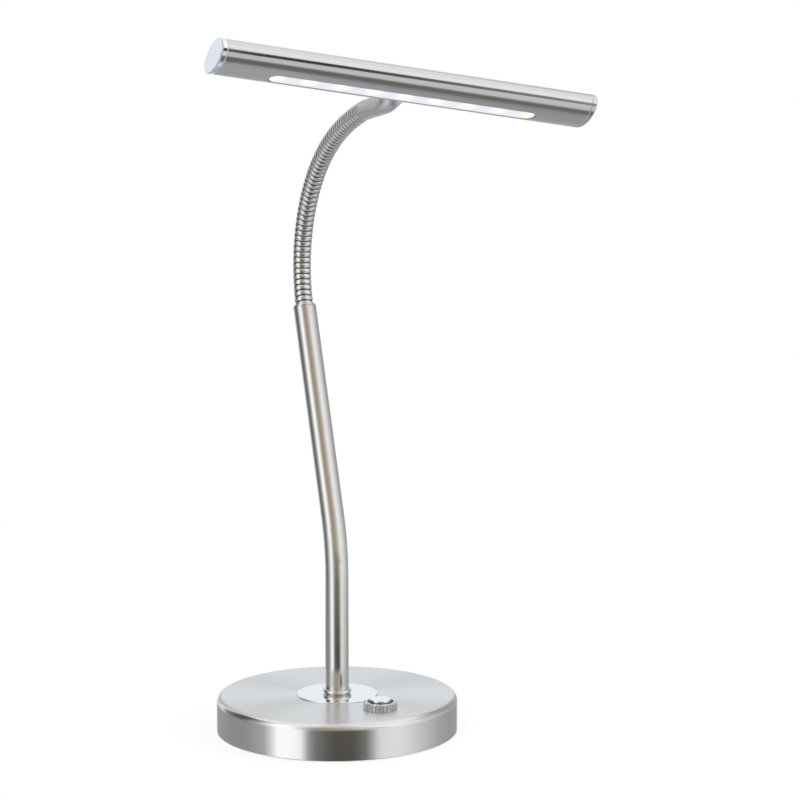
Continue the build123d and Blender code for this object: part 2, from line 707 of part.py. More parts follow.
def light_lens():
    body = slot_block(SLOT_L - 2 * SLOT_GAP, SLOT_W - 2 * SLOT_GAP, LENS_FACE_Z, LENS_SEAT_Z)
    flange_l = SLOT_L + 2 * LENS_FLANGE
    flange = slot_block(flange_l, LENS_FLANGE_W, LENS_SEAT_Z, LENS_SEAT_Z + LENS_FLANGE_T)
    return HEAD_AT * (body + flange)


def led_screws_at():
    return [Pos(side * LED_SCREW_X, 0, 0) for side in (-1, 1)]


def led_carrier():
    bottom = CARRIER_TOP_Z - CARRIER_T
    half = CARRIER_L / 2
    bar = oval(IN_HALF_W - CARRIER_GAP, IN_HALF_T - CARRIER_GAP, -half, half)
    bar &= block(0, 0, bottom, CARRIER_TOP_Z, CARRIER_L, HEAD_W)
    notch_y = (HALF_W - CARRIER_NOTCH) / 2
    notch_l = STUB_NUT_D + 2 * CARRIER_NOTCH_GAP
    bar -= block(0, notch_y, bottom - 1, CARRIER_TOP_Z + 1, notch_l, HALF_W + CARRIER_NOTCH)
    for place in led_screws_at():
        bar -= place * disc(LED_SCREW_D, bottom, bottom + LED_SCREW_GRIP)
    return HEAD_AT * bar


def led_board():
    board = block(0, 0, LEDS_Z, LEDS_Z + LED_BOARD_T, LED_BOARD_L, LED_BOARD_W)
    for place in led_screws_at():
        board -= place * disc(LED_SCREW_D, LEDS_Z - 1, LEDS_Z + LED_BOARD_T + 1)
    return HEAD_AT * board


def led_packages():
    chip = block(-LED_ROW / 2, 0, LEDS_Z - LED_T, LEDS_Z, LED_SIZE, LED_SIZE)
    return Compound([(HEAD_AT * Pos(i * LED_PITCH, 0, 0) * chip).solid() for i in range(LED_COUNT)])


def led_screws():
    top = LEDS_Z + LED_BOARD_T + LED_SCREW_GRIP
    screw = disc(LED_SCREW_HEAD_D, LEDS_Z - LED_SCREW_HEAD_T, LEDS_Z)
    screw += disc(LED_SCREW_D, LEDS_Z, top)
    return Compound([(HEAD_AT * place * screw).solid() for place in led_screws_at()])


def head_lead():
    """From the swivel pin, through the stub, on to the carrier's top."""
    run_z = CARRIER_TOP_Z + LEAD_D / 2 + HEAD_LEAD_LIFT
    turn_y = HEAD_LEAD_SIDE - CARRIER_NOTCH
    local = [(0, CARRIER_NOTCH, 0), (0, turn_y, run_z), (HEAD_LEAD_X, turn_y, run_z)]
    start = SWIVEL_AT * Pos(0, 0, -FERRULE_L / 2 + 1)
    bend = SWIVEL_AT * Pos(0, 0, STUB_TO_BEND)
    points = [start.position, bend.position] + [(HEAD_AT * Pos(*p)).position for p in local]
    return wire_along(points, HEAD_LEAD_BENDS, LEAD_D)


# ---- Write every piece ---------------------------------------------------------

PIECES = {
    "base_shell": base_shell,
    "base_weight": base_weight,
    "base_plate": base_plate,
    "base_screws": base_screws,
    "foot_pad": foot_pad,
    "driver_tray": driver_tray,
    "driver_board": driver_board,
    "driver_components": driver_components,
    "cable_grommet": cable_grommet,
    "escutcheon": escutcheon,
    "stem_collar": stem_collar,
    "stem_tube": stem_tube,
    "stem_bush": stem_bush,
    "stem_nipple": stem_nipple,
    "stem_washer": stem_washer,
    "stem_nut": stem_nut,
    "stem_lead": stem_lead,
    "switch_housing": switch_housing,
    "switch_ring": switch_ring,
    "switch_button": switch_button,
    "switch_spring": switch_spring,
    "switch_terminals": switch_terminals,
    "switch_lead": switch_lead,
    "neck_socket": neck_socket,
    "neck_lead": neck_lead,
    "head_ferrule": head_ferrule,
    "swivel_washer": swivel_washer,
    "swivel_retainer": swivel_retainer,
    "head_stub": head_stub,
    "stub_nut": stub_nut,
    "head_shell": head_shell,
    "end_cap_left": lambda: end_cap(-1),
    "end_cap_right": lambda: end_cap(1),
    "light_lens": light_lens,
    "led_carrier": led_carrier,
    "led_board": led_board,
    "led_packages": led_packages,
    "led_screws": led_screws,
    "head_lead": head_lead,
}
for number in range(NECK_SEGMENTS):
    PIECES[f"neck_segment_{number + 1:02d}"] = lambda number=number: neck_segment(number)

os.makedirs("parts", exist_ok=True)
for node, make in PIECES.items():
    export_step(make(), f"parts/{node}.step")

# The places that the joints need, in the row's own frame
for number, pivot in enumerate(PIVOTS):
    print(f"pivot {number}", [round(v, 3) for v in pivot])
print("ferrule direction", [round(v, 5) for v in FERRULE_DIR])
print("swivel face", [round(v, 3) for v in SWIVEL_AT.position])
print("head middle", [round(v, 3) for v in HEAD_AT.position])
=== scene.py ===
from math import atan2, cos, pi, radians, sin, sqrt

import bmesh
import bpy
from mathutils import Matrix, Vector


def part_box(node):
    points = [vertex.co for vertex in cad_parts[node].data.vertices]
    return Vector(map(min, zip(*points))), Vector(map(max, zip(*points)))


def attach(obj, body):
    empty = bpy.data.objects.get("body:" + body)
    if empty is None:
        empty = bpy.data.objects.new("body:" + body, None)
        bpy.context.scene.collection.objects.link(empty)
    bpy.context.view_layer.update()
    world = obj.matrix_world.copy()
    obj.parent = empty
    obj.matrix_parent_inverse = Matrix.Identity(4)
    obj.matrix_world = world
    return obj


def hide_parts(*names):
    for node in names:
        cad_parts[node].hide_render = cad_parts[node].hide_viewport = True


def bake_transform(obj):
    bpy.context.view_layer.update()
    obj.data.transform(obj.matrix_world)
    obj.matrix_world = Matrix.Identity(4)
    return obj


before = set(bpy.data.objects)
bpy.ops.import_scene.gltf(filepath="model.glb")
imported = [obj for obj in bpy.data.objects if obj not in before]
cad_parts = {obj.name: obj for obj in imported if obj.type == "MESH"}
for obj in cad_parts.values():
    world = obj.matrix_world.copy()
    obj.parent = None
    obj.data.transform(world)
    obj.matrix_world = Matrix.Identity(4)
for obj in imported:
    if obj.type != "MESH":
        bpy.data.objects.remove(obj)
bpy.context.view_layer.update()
MM = 0.001


# ---------------------------------------------------------------------------
# Viewpoint. A long lens stands a metre and a half off, a little left of the
# front and level with the light bar, looking slightly down on the base.
# ---------------------------------------------------------------------------

VIEW_TURN = radians(23.0)
VIEW_DOWN = radians(7.341)
VIEW_AWAY = 1511.6 * MM
VIEW_LEFT = 40.54 * MM
VIEW_HEIGHT = 409.4 * MM
LENS_MM = 108.0
SENSOR_MM = 36.0

look = Vector((sin(VIEW_TURN), cos(VIEW_TURN), 0))
right = Vector((cos(VIEW_TURN), -sin(VIEW_TURN), 0))
camera_data = bpy.data.cameras.new("camera")
camera_data.lens = LENS_MM
camera_data.sensor_width = SENSOR_MM
camera = bpy.data.objects.new("camera", camera_data)
camera.location = right * VIEW_LEFT - look * VIEW_AWAY + Vector((0, 0, VIEW_HEIGHT))
camera.rotation_euler = (pi / 2 - VIEW_DOWN, 0, -VIEW_TURN)
bpy.context.scene.collection.objects.link(camera)
bpy.context.scene.camera = camera
bpy.context.scene.view_settings.view_transform = "Standard"


# ---------------------------------------------------------------------------
# Room. A white studio: pale table, white backdrop, a tall softbox at each side
# and the darker room behind the camera, which the metal mirrors as bands.
# ---------------------------------------------------------------------------

class Tree:
    """A node tree to which other nodes are added by one call each."""

    def __init__(self, owner):
        owner.use_nodes = True
        self.nodes = owner.node_tree.nodes
        self.links = owner.node_tree.links
        self.nodes.clear()

    def add(self, kind, sockets=None, out=0, **settings):
        """Adds a node: its settings first, then its sockets' values or links."""
        node = self.nodes.new("ShaderNode" + kind)
        for key, value in settings.items():
            if key == "stops":
                elements = node.color_ramp.elements
                while len(elements) < len(value):
                    elements.new(0.5)
                for element, (place, color) in zip(elements, value):
                    element.position = place
                    element.color = (*color, 1)
            else:
                setattr(node, key, value)
        for key, value in (sockets or {}).items():
            if isinstance(value, Value):
                self.links.new(value.socket, node.inputs[key])
            else:
                node.inputs[key].default_value = value
        return Value(self, node.outputs[out]) if node.outputs else None


class Value:
    """A socket that takes part in Python arithmetic by adding Math nodes."""

    def __init__(self, tree, socket):
        self.tree = tree
        self.socket = socket

    def math(self, operation, other=None):
        sockets = {0: self} if other is None else {0: self, 1: other}
        return self.tree.add("Math", sockets, operation=operation)

    def __add__(self, other):
        return self.math("ADD", other)

    __radd__ = __add__

    def __mul__(self, other):
        return self.math("MULTIPLY", other)

    __rmul__ = __mul__

    def __sub__(self, other):
        return self.math("SUBTRACT", other)

    def __rsub__(self, other):
        return self * -1.0 + other

    def clipped(self, low, high):
        """0 below low, 1 above high, and smooth between them."""
        limits = {"Value": self, "From Min": low, "From Max": high}
        return self.tree.add("MapRange", limits, interpolation_type="SMOOTHSTEP")


MIX_FACTOR, MIX_FIRST, MIX_SECOND, MIX_RESULT = 0, 6, 7, 2


def mix_colors(tree, factor, first, second):
    """The first colour where the factor is 0 and the second where it is 1."""
    sockets = {MIX_FACTOR: factor, MIX_FIRST: first, MIX_SECOND: second}
    return tree.add("Mix", sockets, out=MIX_RESULT, data_type="RGBA")


def component(tree, vector, axis):
    """How far a vector reaches along a fixed axis."""
    return tree.add("VectorMath", {0: vector, 1: tuple(axis)}, out=1, operation="DOT_PRODUCT")


WARM_BLUE_LOSS = 1.6
WHITE = (1, 1, 1, 1)
FILL_LIGHT = (0.82, 0.83, 0.85, 1)


def gray(level, warmth=0.0):
    """A gray that is redder and less blue the higher its warmth."""
    return (level * (1 + warmth), level, level * (1 - WARM_BLUE_LOSS * warmth))


# Each ring of the room: the sines of the heights between which it takes over
# from the ring below, and its brightness by degrees to the camera's right.
ROOM_RINGS = (
    (None, (
        (-180, 0.42), (-150, 0.40), (-60, 0.45), (0, 0.25), (60, 0.16), (100, 0.18), (127, 0.30), (150, 0.40),
        (180, 0.42),
    )),
    ((-0.93, -0.85), (
        (-180, 0.45), (-150, 0.42), (-130, 0.50), (-115, 0.65), (-85, 0.80), (-52, 0.80), (-30, 0.50),
        (-12, 0.19), (5, 0.20), (25, 0.42), (42, 0.74), (60, 0.74), (89, 0.68), (120, 0.50), (150, 0.40),
        (180, 0.45),
    )),
    ((-0.56, -0.41), (
        (-180, 0.85), (-172, 0.80), (-164, 0.36), (-100, 0.34), (-72, 0.42), (-64, 0.80), (-57, 1.30),
        (-34, 1.22), (-26, 0.36), (-19, 0.18), (-9, 0.10), (0, 0.058), (19, 0.058), (29, 0.13), (35, 0.42),
        (42, 0.84), (52, 0.92), (64, 0.90), (85, 0.70), (112, 0.46), (137, 0.39), (165, 0.38), (172, 0.80),
        (180, 0.85),
    )),
    ((-0.222, -0.198), (
        (-180, 0.85), (-160, 0.80), (-136, 0.80), (-125, 0.35), (-116, 0.20), (-100, 0.20), (-88, 0.35),
        (-75, 0.62), (-64, 1.00), (-54, 1.28), (-42, 1.28), (-31, 0.80), (-21, 0.40), (-3, 0.26, 0.16),
        (16, 0.30, 0.14), (27, 0.56, 0.05), (37, 0.88), (48, 1.03), (58, 1.05), (82, 0.90), (110, 0.62),
        (140, 0.45), (165, 0.50), (180, 0.85),
    )),
    ((-0.02, 0.14), (
        (-180, 0.94, -0.03), (-172, 0.90, -0.03), (-165, 0.62), (-152, 0.52), (-144, 0.90, -0.04),
        (-138, 0.88, -0.04), (-130, 0.36), (-118, 0.18), (-108, 0.10), (-96, 0.11), (-88, 0.30), (-79, 0.45),
        (-68, 1.00), (-57, 1.45), (-46, 1.28), (-36, 0.93), (-25, 0.52, 0.06), (-16, 0.37, 0.16),
        (6, 0.44, 0.16), (18, 0.60, 0.10), (29, 0.78, 0.06), (41, 1.05), (53, 1.17), (77, 1.00), (102, 0.65),
        (135, 0.39), (153, 0.42), (165, 0.60), (172, 0.90, -0.03), (180, 0.94, -0.03),
    )),
    ((0.60, 0.79), (
        (-180, 1.00, -0.03), (-40, 1.05, -0.02), (-16, 0.72, 0.03), (12, 0.72, 0.03), (34, 1.05, -0.02),
        (180, 1.02, -0.03),
    )),
)

world = bpy.data.worlds.new("room")
bpy.context.scene.world = world
room = Tree(world)
direction = room.add("TexCoord")
height = component(room, direction, (0, 0, 1))
to_right = component(room, direction, right)
turn = to_right.math("ARCTAN2", component(room, direction, -look)) * (0.5 / pi) + 0.5
seen_in_metal = None
for heights, bands in ROOM_RINGS:
    ring_stops = [(0.5 + angle / 360, gray(*level)) for angle, *level in bands]
    ring_light = room.add("ValToRGB", {0: turn}, stops=ring_stops)
    if heights:
        seen_in_metal = mix_colors(room, height.clipped(*heights), seen_in_metal, ring_light)
    else:
        seen_in_metal = ring_light
is_glossy = room.add("LightPath", out="Is Glossy Ray")
is_seen = room.add("LightPath", out="Is Camera Ray") + room.add("LightPath", out="Is Transmission Ray")
room_color = mix_colors(room, is_glossy, FILL_LIGHT, seen_in_metal)
room_color = mix_colors(room, is_seen, room_color, WHITE)
world.cycles.sampling_method = "NONE"
room.add("OutputWorld", {"Surface": room.add("Background", {"Color": room_color, "Strength": 1.0})})


def stage_piece(name, mesh, material, *unseen_by):
    """A piece of the studio, hidden from the kinds of ray that are named."""
    data = bpy.data.meshes.new(name)
    mesh.to_mesh(data)
    mesh.free()
    data.materials.append(material)
    item = bpy.data.objects.new(name, data)
    bpy.context.scene.collection.objects.link(item)
    for ray in unseen_by:
        setattr(item, "visible_" + ray, False)


TABLE_SIZE = 12.0
TABLE_COLOR = (0.93, 0.93, 0.93, 1)
TABLE_ROUGHNESS = 0.9
TABLE_WHITE_NEAR = 0.82
TABLE_WHITE_GAIN = 0.18
TABLE_WHITE_REACH = (0.1, 0.8)

table_finish = bpy.data.materials.new("pale_table")
tree = Tree(table_finish)
spot = tree.add("TexCoord", out="Object")
away = tree.add("VectorMath", {0: spot}, out=1, operation="LENGTH")
table_sockets = {"Base Color": TABLE_COLOR, "Roughness": TABLE_ROUGHNESS, "Specular IOR Level": 0.0}
paint = tree.add("BsdfPrincipled", table_sockets)
glow = tree.add("Emission", {"Color": WHITE, "Strength": 1.0})
whitening = TABLE_WHITE_NEAR + away.clipped(*TABLE_WHITE_REACH) * TABLE_WHITE_GAIN
white_share = tree.add("LightPath", out="Is Camera Ray") * whitening
tree.add("OutputMaterial", {"Surface": tree.add("MixShader", {0: white_share, 1: paint, 2: glow})})
table_mesh = bmesh.new()
bmesh.ops.create_grid(table_mesh, x_segments=1, y_segments=1, size=TABLE_SIZE / 2)
stage_piece("table", table_mesh, table_finish, "glossy")

# A dark board lies low in front, out of view, and draws the dark line along the bar.
BOARD_HEIGHT = 100 * MM
BOARD_FROM_Y = -0.11
BOARD_REACHES = (0.56, 6.5)
BOARD_SPREADS = (0.19, 0.72)
BOARD_AIM = radians(20.0)
BOARD_FADE = (-0.15, 0.08)
BOARD_SHADES = ((0.03, 0.03, 0.03, 1), (0.24, 0.23, 0.22, 1))
BOARD_HIDDEN_FROM = ("camera", "diffuse", "transmission", "volume_scatter", "shadow")

board_finish = bpy.data.materials.new("dark_board")
tree = Tree(board_finish)
along_bar = component(tree, tree.add("TexCoord", out="Object"), (cos(BOARD_AIM), sin(BOARD_AIM), 0))
board_shade = mix_colors(tree, along_bar.clipped(*BOARD_FADE), *BOARD_SHADES)
tree.add("OutputMaterial", {"Surface": tree.add("Emission", {"Color": board_shade, "Strength": 1.0})})
board_mesh = bmesh.new()
board_corners = []
for reach, spread, sides in zip(BOARD_REACHES, BOARD_SPREADS, ((-1, 1), (1, -1))):
    middle = Vector((reach * sin(BOARD_AIM), BOARD_FROM_Y - reach * cos(BOARD_AIM), BOARD_HEIGHT))
    board_corners += [board_mesh.verts.new(middle + Vector((side * spread, 0, 0))) for side in sides]
bmesh.ops.contextual_create(board_mesh, geom=board_corners)
stage_piece("dark_board", board_mesh, board_finish, *BOARD_HIDDEN_FROM)

SOFT_LIGHT_SIZE = 1.6
SOFT_LIGHT_AIM = Vector((0, 0, 0.2))


def soft_light(name, place, power):
    """A broad soft light that faces the lamp's middle and stays out of mirrors."""
    data = bpy.data.lights.new(name, "AREA")
    data.size = SOFT_LIGHT_SIZE
    data.energy = power
    lamp = bpy.data.objects.new(name, data)
    lamp.location = place
    aim = SOFT_LIGHT_AIM - Vector(place)
    lamp.rotation_euler = aim.to_track_quat("-Z", "Y").to_euler()
    lamp.visible_glossy = False
    bpy.context.scene.collection.objects.link(lamp)


soft_light("key", (-1.2, -1.6, 2.2), 28.0)
soft_light("fill", (1.8, -1.2, 1.6), 14.0)


# ---------------------------------------------------------------------------
# Base shell. Turned from sheet steel and plated, with a rolled upper edge. The
# top and wall are brushed on the lathe, so the lines run round the centre.
# ---------------------------------------------------------------------------

BASE_LOW, BASE_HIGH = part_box("base_shell")
BASE_RADIUS = BASE_HIGH.x
BASE_TOP = BASE_HIGH.z
BASE_RIM = BASE_LOW.z
BASE_EDGE = 3.8 * MM
BASE_WALL = 1.2 * MM
BASE_FOOT_ROUND = 0.3 * MM
STEM_HOLE = 5.2 * MM
LATHE_STEPS = 144
MERGE_WITHIN = 1e-6
TOP_SOFTNESS = ((0, 0, 1), BASE_TOP - 0.4 * MM, BASE_TOP - 0.02 * MM, 0.21)

# A hold is how far from an edge an extra ring lies, which keeps its shading crisp.
EDGE_HOLD = 0.3 * MM
BASE_HOLD = 0.6 * MM
FOOT_HOLD = 0.5 * MM

# How a metal's roughness is shared out, and the size of what its marks change.
LINE_ROUGHNESS, CLOUD_ROUGHNESS, EVEN_ROUGHNESS = 0.3, 0.1, 0.8
LINE_DARKENING = 0.95
LINE_HEIGHT = 0.05 * MM
CLOUD_SCALE = 18.0
QUARTER_TURN = 0.25
LATHE_GRAIN = 5200.0


def finished(name, mesh, material, body=None, *nodes):
    """The bmesh as a smooth object with its material, body and CAD nodes."""
    bmesh.ops.recalc_face_normals(mesh, faces=mesh.faces)
    data = bpy.data.meshes.new(name)
    mesh.to_mesh(data)
    mesh.free()
    data.shade_smooth()
    piece = bpy.data.objects.new(name, data)
    bpy.context.scene.collection.objects.link(piece)
    data.materials.append(material)
    if body:
        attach(piece, body)
    if nodes:
        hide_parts(*nodes)
    return piece


def arc(center, radius, start, stop, steps=8):
    """Points (r, z) on an arc, by degrees from the outward direction."""
    angles = [radians(start + (stop - start) * i / steps) for i in range(steps + 1)]
    return [(center[0] + radius * cos(a), center[1] + radius * sin(a)) for a in angles]


def turned(outline, steps=LATHE_STEPS, center=(0, 0)):
    """An outline of (radius, height) points spun about an upright axis."""
    mesh = bmesh.new()
    points = [mesh.verts.new((center[0] + r, center[1], z)) for r, z in outline]
    edges = [mesh.edges.new(pair) for pair in zip(points, points[1:])]
    bmesh.ops.spin(
        mesh, geom=points + edges, cent=(*center, 0), axis=(0, 0, 1), dvec=(0, 0, 0),
        angle=2 * pi, steps=steps, use_merge=True,
    )
    bmesh.ops.remove_doubles(mesh, verts=mesh.verts, dist=MERGE_WITHIN)
    return mesh


def metal(name, color, roughness, marks=None, depth=0.0, across=None, softer=None):
    """A plated metal, whose fine lines come from marks and stand out by depth.

    across is how much its reflections blur over the lines, and softer is
    (axis, low, high, more): where it gets duller, and by how much.
    """
    material = bpy.data.materials.new(name)
    nodes = Tree(material)
    sockets = {"Base Color": (*color, 1), "Metallic": 1.0, "Roughness": roughness}
    if across:
        sockets["Anisotropic"] = across
        sockets["Anisotropic Rotation"] = QUARTER_TURN
    if marks:
        lines = marks(nodes)
        place = nodes.add("TexCoord", out="Object")
        cloud = nodes.add("TexNoise", {"Vector": place, "Scale": CLOUD_SCALE, "Detail": 2.0})
        from_marks = lines * (roughness * LINE_ROUGHNESS) + cloud * (roughness * CLOUD_ROUGHNESS)
        sockets["Roughness"] = from_marks + roughness * EVEN_ROUGHNESS
        if softer:
            axis, low, high, more = softer
            level = component(nodes, place, axis)
            sockets["Roughness"] = sockets["Roughness"] + level.clipped(low, high) * more
        dark = tuple(c * LINE_DARKENING for c in color)
        sockets["Base Color"] = mix_colors(nodes, lines, (*dark, 1), (*color, 1))
        sockets["Normal"] = nodes.add("Bump", {"Strength": depth, "Distance": LINE_HEIGHT, "Height": lines})
    nodes.add("OutputMaterial", {"Surface": nodes.add("BsdfPrincipled", sockets)})
    return material


def lathe_lines(nodes):
    """Fine lines at one radius and height all the way round the centre."""
    place = nodes.add("TexCoord", out="Object")
    x, y, z = (component(nodes, place, axis) for axis in ((1, 0, 0), (0, 1, 0), (0, 0, 1)))
    radius = (x * x + y * y).math("SQRT")
    grooves = nodes.add(
        "CombineXYZ", {0: radius * LATHE_GRAIN, 1: z * LATHE_GRAIN, 2: y.math("ARCTAN2", x) * 2.0},
    )
    return nodes.add("TexNoise", {"Vector": grooves, "Scale": 1.0, "Detail": 3.0, "Roughness": 0.7})


lathe_nickel = metal("lathe_brushed_nickel", (0.77, 0.77, 0.755), 0.13, lathe_lines, 0.02, 0.85, TOP_SOFTNESS)
edge_center = (BASE_RADIUS - BASE_EDGE, BASE_TOP - BASE_EDGE)
foot_center = (BASE_RADIUS - BASE_FOOT_ROUND, BASE_RIM + BASE_FOOT_ROUND)
shell_outline = [(STEM_HOLE, BASE_TOP - BASE_WALL), (STEM_HOLE, BASE_TOP), (STEM_HOLE + EDGE_HOLD, BASE_TOP)]
shell_outline += [(BASE_RADIUS * share, BASE_TOP) for share in (0.2, 0.4, 0.6, 0.8)]
shell_outline += [(edge_center[0] - BASE_HOLD, BASE_TOP)]
shell_outline += arc(edge_center, BASE_EDGE, 90, 0, 12)
shell_outline += [(BASE_RADIUS, edge_center[1] - BASE_HOLD), (BASE_RADIUS, foot_center[1] + FOOT_HOLD)]
shell_outline += arc(foot_center, BASE_FOOT_ROUND, 0, -90, 4)
shell_outline += [(BASE_RADIUS - BASE_WALL, BASE_RIM), (BASE_RADIUS - BASE_WALL, edge_center[1])]
shell_outline += arc(edge_center, BASE_EDGE - BASE_WALL, 0, 90, 8)
shell_outline += [(STEM_HOLE, BASE_TOP - BASE_WALL)]
finished("base_cover", turned(shell_outline), lathe_nickel, "base", "base_shell")


# ---------------------------------------------------------------------------
# Escutcheon and collar. A thin mirror-polished disc hides the hole in the base,
# and a small turned bead grips the stem's foot on top of it.
# ---------------------------------------------------------------------------

DISC_LOW, DISC_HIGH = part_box("escutcheon")
DISC_RADIUS = DISC_HIGH.x
DISC_TOP = DISC_HIGH.z
DISC_EDGE = 0.45 * MM
DISC_HOLD = 0.4 * MM
DISC_FOOT_HIGH = 0.1 * MM
DISC_FOOT_IN = 0.2 * MM
BEAD_LOW, BEAD_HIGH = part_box("stem_collar")
BEAD_RADIUS = BEAD_HIGH.x
BEAD_ROLL = 0.7 * MM
BEAD_WAIST_IN = 0.8 * MM
BEAD_WAIST_HIGH = 0.9 * MM
SMALL_LATHE_STEPS = 72
STEM_RADIUS = 7.5 * MM

mirror_nickel = metal("mirror_polished_nickel", (0.86, 0.885, 0.91), 0.035)
collar_nickel = metal("collar_polished_nickel", (0.74, 0.73, 0.70), 0.09)
disc_outline = [(STEM_HOLE, DISC_LOW.z), (STEM_HOLE, DISC_TOP), (STEM_HOLE + EDGE_HOLD, DISC_TOP)]
disc_outline += [(DISC_RADIUS - DISC_EDGE - DISC_HOLD, DISC_TOP)]
disc_outline += arc((DISC_RADIUS - DISC_EDGE, DISC_TOP - DISC_EDGE), DISC_EDGE, 90, 0, 6)
disc_outline += [(DISC_RADIUS, DISC_LOW.z + DISC_FOOT_HIGH), (DISC_RADIUS - DISC_FOOT_IN, DISC_LOW.z)]
disc_outline += [(STEM_HOLE, DISC_LOW.z)]
finished("escutcheon_disc", turned(disc_outline), mirror_nickel, "base", "escutcheon")

waist = BEAD_RADIUS - BEAD_WAIST_IN
bead_low = BEAD_LOW.z + BEAD_WAIST_HIGH
bead_middle = (BEAD_RADIUS - BEAD_ROLL, bead_low + BEAD_ROLL)
bead_upper = (BEAD_RADIUS - BEAD_ROLL, BEAD_HIGH.z - BEAD_ROLL)
bead_outline = [(STEM_RADIUS, BEAD_LOW.z), (waist, BEAD_LOW.z), (waist, bead_low)]
bead_outline += arc(bead_middle, BEAD_ROLL, -80, 0, 6) + arc(bead_upper, BEAD_ROLL, 0, 90, 8)
bead_outline += [(STEM_RADIUS, BEAD_HIGH.z), (STEM_RADIUS, BEAD_LOW.z)]
finished("collar_bead", turned(bead_outline, SMALL_LATHE_STEPS), collar_nickel, "base", "stem_collar")


# ---------------------------------------------------------------------------
# Stem. Thin-walled steel tube, bent once so that it leans back, with a satin
# plate. A bush with a rolled lip closes its mouth round the gooseneck.
# ---------------------------------------------------------------------------

STEM_BEND_Z = 100.4 * MM
STEM_BEND_R = 110.0 * MM
STEM_LEAN = radians(20.5)
STEM_UPPER = 138.9 * MM
STEM_BEND_STEPS = 28
STEM_SIDES = 64
STEM_HOLD = 4 * MM
TUBE_GRAIN = (700.0, 700.0, 6500.0)
LIP_HEIGHT = 1.6 * MM
LIP_ROLL = 1.1 * MM
LIP_SKIRT = 0.4 * MM
LIP_MOUTH = (5.4 * MM, 0.2 * MM)
LIP_THROAT = (5.0 * MM, -2.0 * MM)


def along(lean):
    """The direction at a lean from upright, positive towards the front."""
    return Vector((0, -sin(lean), cos(lean)))


def ring_at(point, lean, radius):
    """Places a unit circle round a point, square to the line there."""
    return Matrix.Translation(point) @ Matrix.Rotation(lean, 4, "X") @ Matrix.Scale(radius, 4)


def drawn(rings, sides, closed=False):
    """A skin drawn from ring to ring, each a matrix that places a unit circle."""
    mesh = bmesh.new()
    circle = bmesh.ops.create_circle(mesh, segments=sides, radius=1.0, matrix=rings[0], cap_ends=closed)
    edges = list({edge for vert in circle["verts"] for edge in vert.link_edges})
    for before, after in zip(rings, rings[1:]):
        grown = bmesh.ops.extrude_edge_only(mesh, edges=edges)["geom"]
        edges = [item for item in grown if isinstance(item, bmesh.types.BMEdge)]
        verts = [item for item in grown if isinstance(item, bmesh.types.BMVert)]
        bmesh.ops.transform(mesh, matrix=after @ before.inverted(), verts=verts)
    if closed:
        bmesh.ops.contextual_create(mesh, geom=edges)
    return mesh


def tube_lines(nodes):
    """Short fine lines round the tube, from the belt that finished it."""
    place = nodes.add("TexCoord", out="Object")
    grooves = nodes.add("Mapping", {"Vector": place, "Scale": TUBE_GRAIN})
    return nodes.add("TexNoise", {"Vector": grooves, "Scale": 1.0, "Detail": 2.0, "Roughness": 0.6})


satin_nickel = metal("satin_nickel", (0.70, 0.70, 0.685), 0.12, tube_lines, 0.02)
stem_rings = [ring_at((0, 0, z), 0, STEM_RADIUS) for z in (DISC_TOP, DISC_TOP + MM, STEM_BEND_Z)]
for step in range(1, STEM_BEND_STEPS + 1):
    lean = STEM_LEAN * step / STEM_BEND_STEPS
    bend_point = Vector((0, STEM_BEND_R * (1 - cos(lean)), STEM_BEND_Z + STEM_BEND_R * sin(lean)))
    stem_rings.append(ring_at(bend_point, -lean, STEM_RADIUS))
MOUTH = bend_point + along(-STEM_LEAN) * STEM_UPPER
for short in (STEM_HOLD, 0):
    stem_rings.append(ring_at(MOUTH - along(-STEM_LEAN) * short, -STEM_LEAN, STEM_RADIUS))
finished("stem_tube_skin", drawn(stem_rings, STEM_SIDES), satin_nickel, "base", "stem_tube")


def turned_about(outline, place, lean, steps=STEM_SIDES):
    """A turned outline moved to a place on the neck's plane and leaned."""
    mesh = turned(outline, steps)
    bmesh.ops.transform(mesh, matrix=ring_at(place, lean, 1.0), verts=mesh.verts)
    return mesh


lip_outline = [(STEM_RADIUS, -LIP_SKIRT), (STEM_RADIUS, 0.0)]
lip_outline += arc((STEM_RADIUS - LIP_ROLL, LIP_HEIGHT - LIP_ROLL), LIP_ROLL, 0, 150, 12)
lip_outline += [LIP_MOUTH, LIP_THROAT]
finished("stem_mouth_lip", turned_about(lip_outline, MOUTH, -STEM_LEAN), satin_nickel, "base", "neck_socket")


# ---------------------------------------------------------------------------
# Gooseneck. A coil of round steel wire with a second wire wedged between its
# turns, so it bends anywhere and stays there. Its outside is a row of beads.
# ---------------------------------------------------------------------------

NECK_RADIUS = 6.0 * MM
NECK_GROOVE = 5.2 * MM
NECK_LENGTH = 188.0 * MM
NECK_PARTS = 12
NECK_TURN = radians(96.3)
NECK_CURVE_POWER = 1.57
NECK_BEADS = 50
NECK_SIDES = 40
NECK_FINE = 600
COIL_OVERLAP = 0.02
FERRULE_LEAN = radians(90.0 - 7.6)
BEAD_STATIONS = (0.0, 0.05, 0.14, 0.28, 0.5, 0.72, 0.86, 0.95)
BEAD_FULLNESS = 0.48
STATION_GAP = 0.01
# Painted shade: the wire is coloured near black down in each groove between the turns, where shade falls.
GROOVE_PAINTED_SHADE = (0.04, 0.038, 0.035, 1)
WIRE_COLOR = (0.74, 0.74, 0.725, 1)
GROOVE_SHADE_REACH = (0.25, 0.92)
WIRE_FLECK_SCALE = 900.0


def neck_lean(share):
    """The neck's lean from upright at a share of its length."""
    return -STEM_LEAN + NECK_TURN * (1 - (1 - min(share, 1.0)) ** NECK_CURVE_POWER)


def neck_points(count):
    """Points along the neck's middle line, by equal straight steps."""
    points = [MOUTH.copy()]
    for index in range(count):
        points.append(points[-1] + along(neck_lean((index + 0.5) / count)) * (NECK_LENGTH / count))
    return points


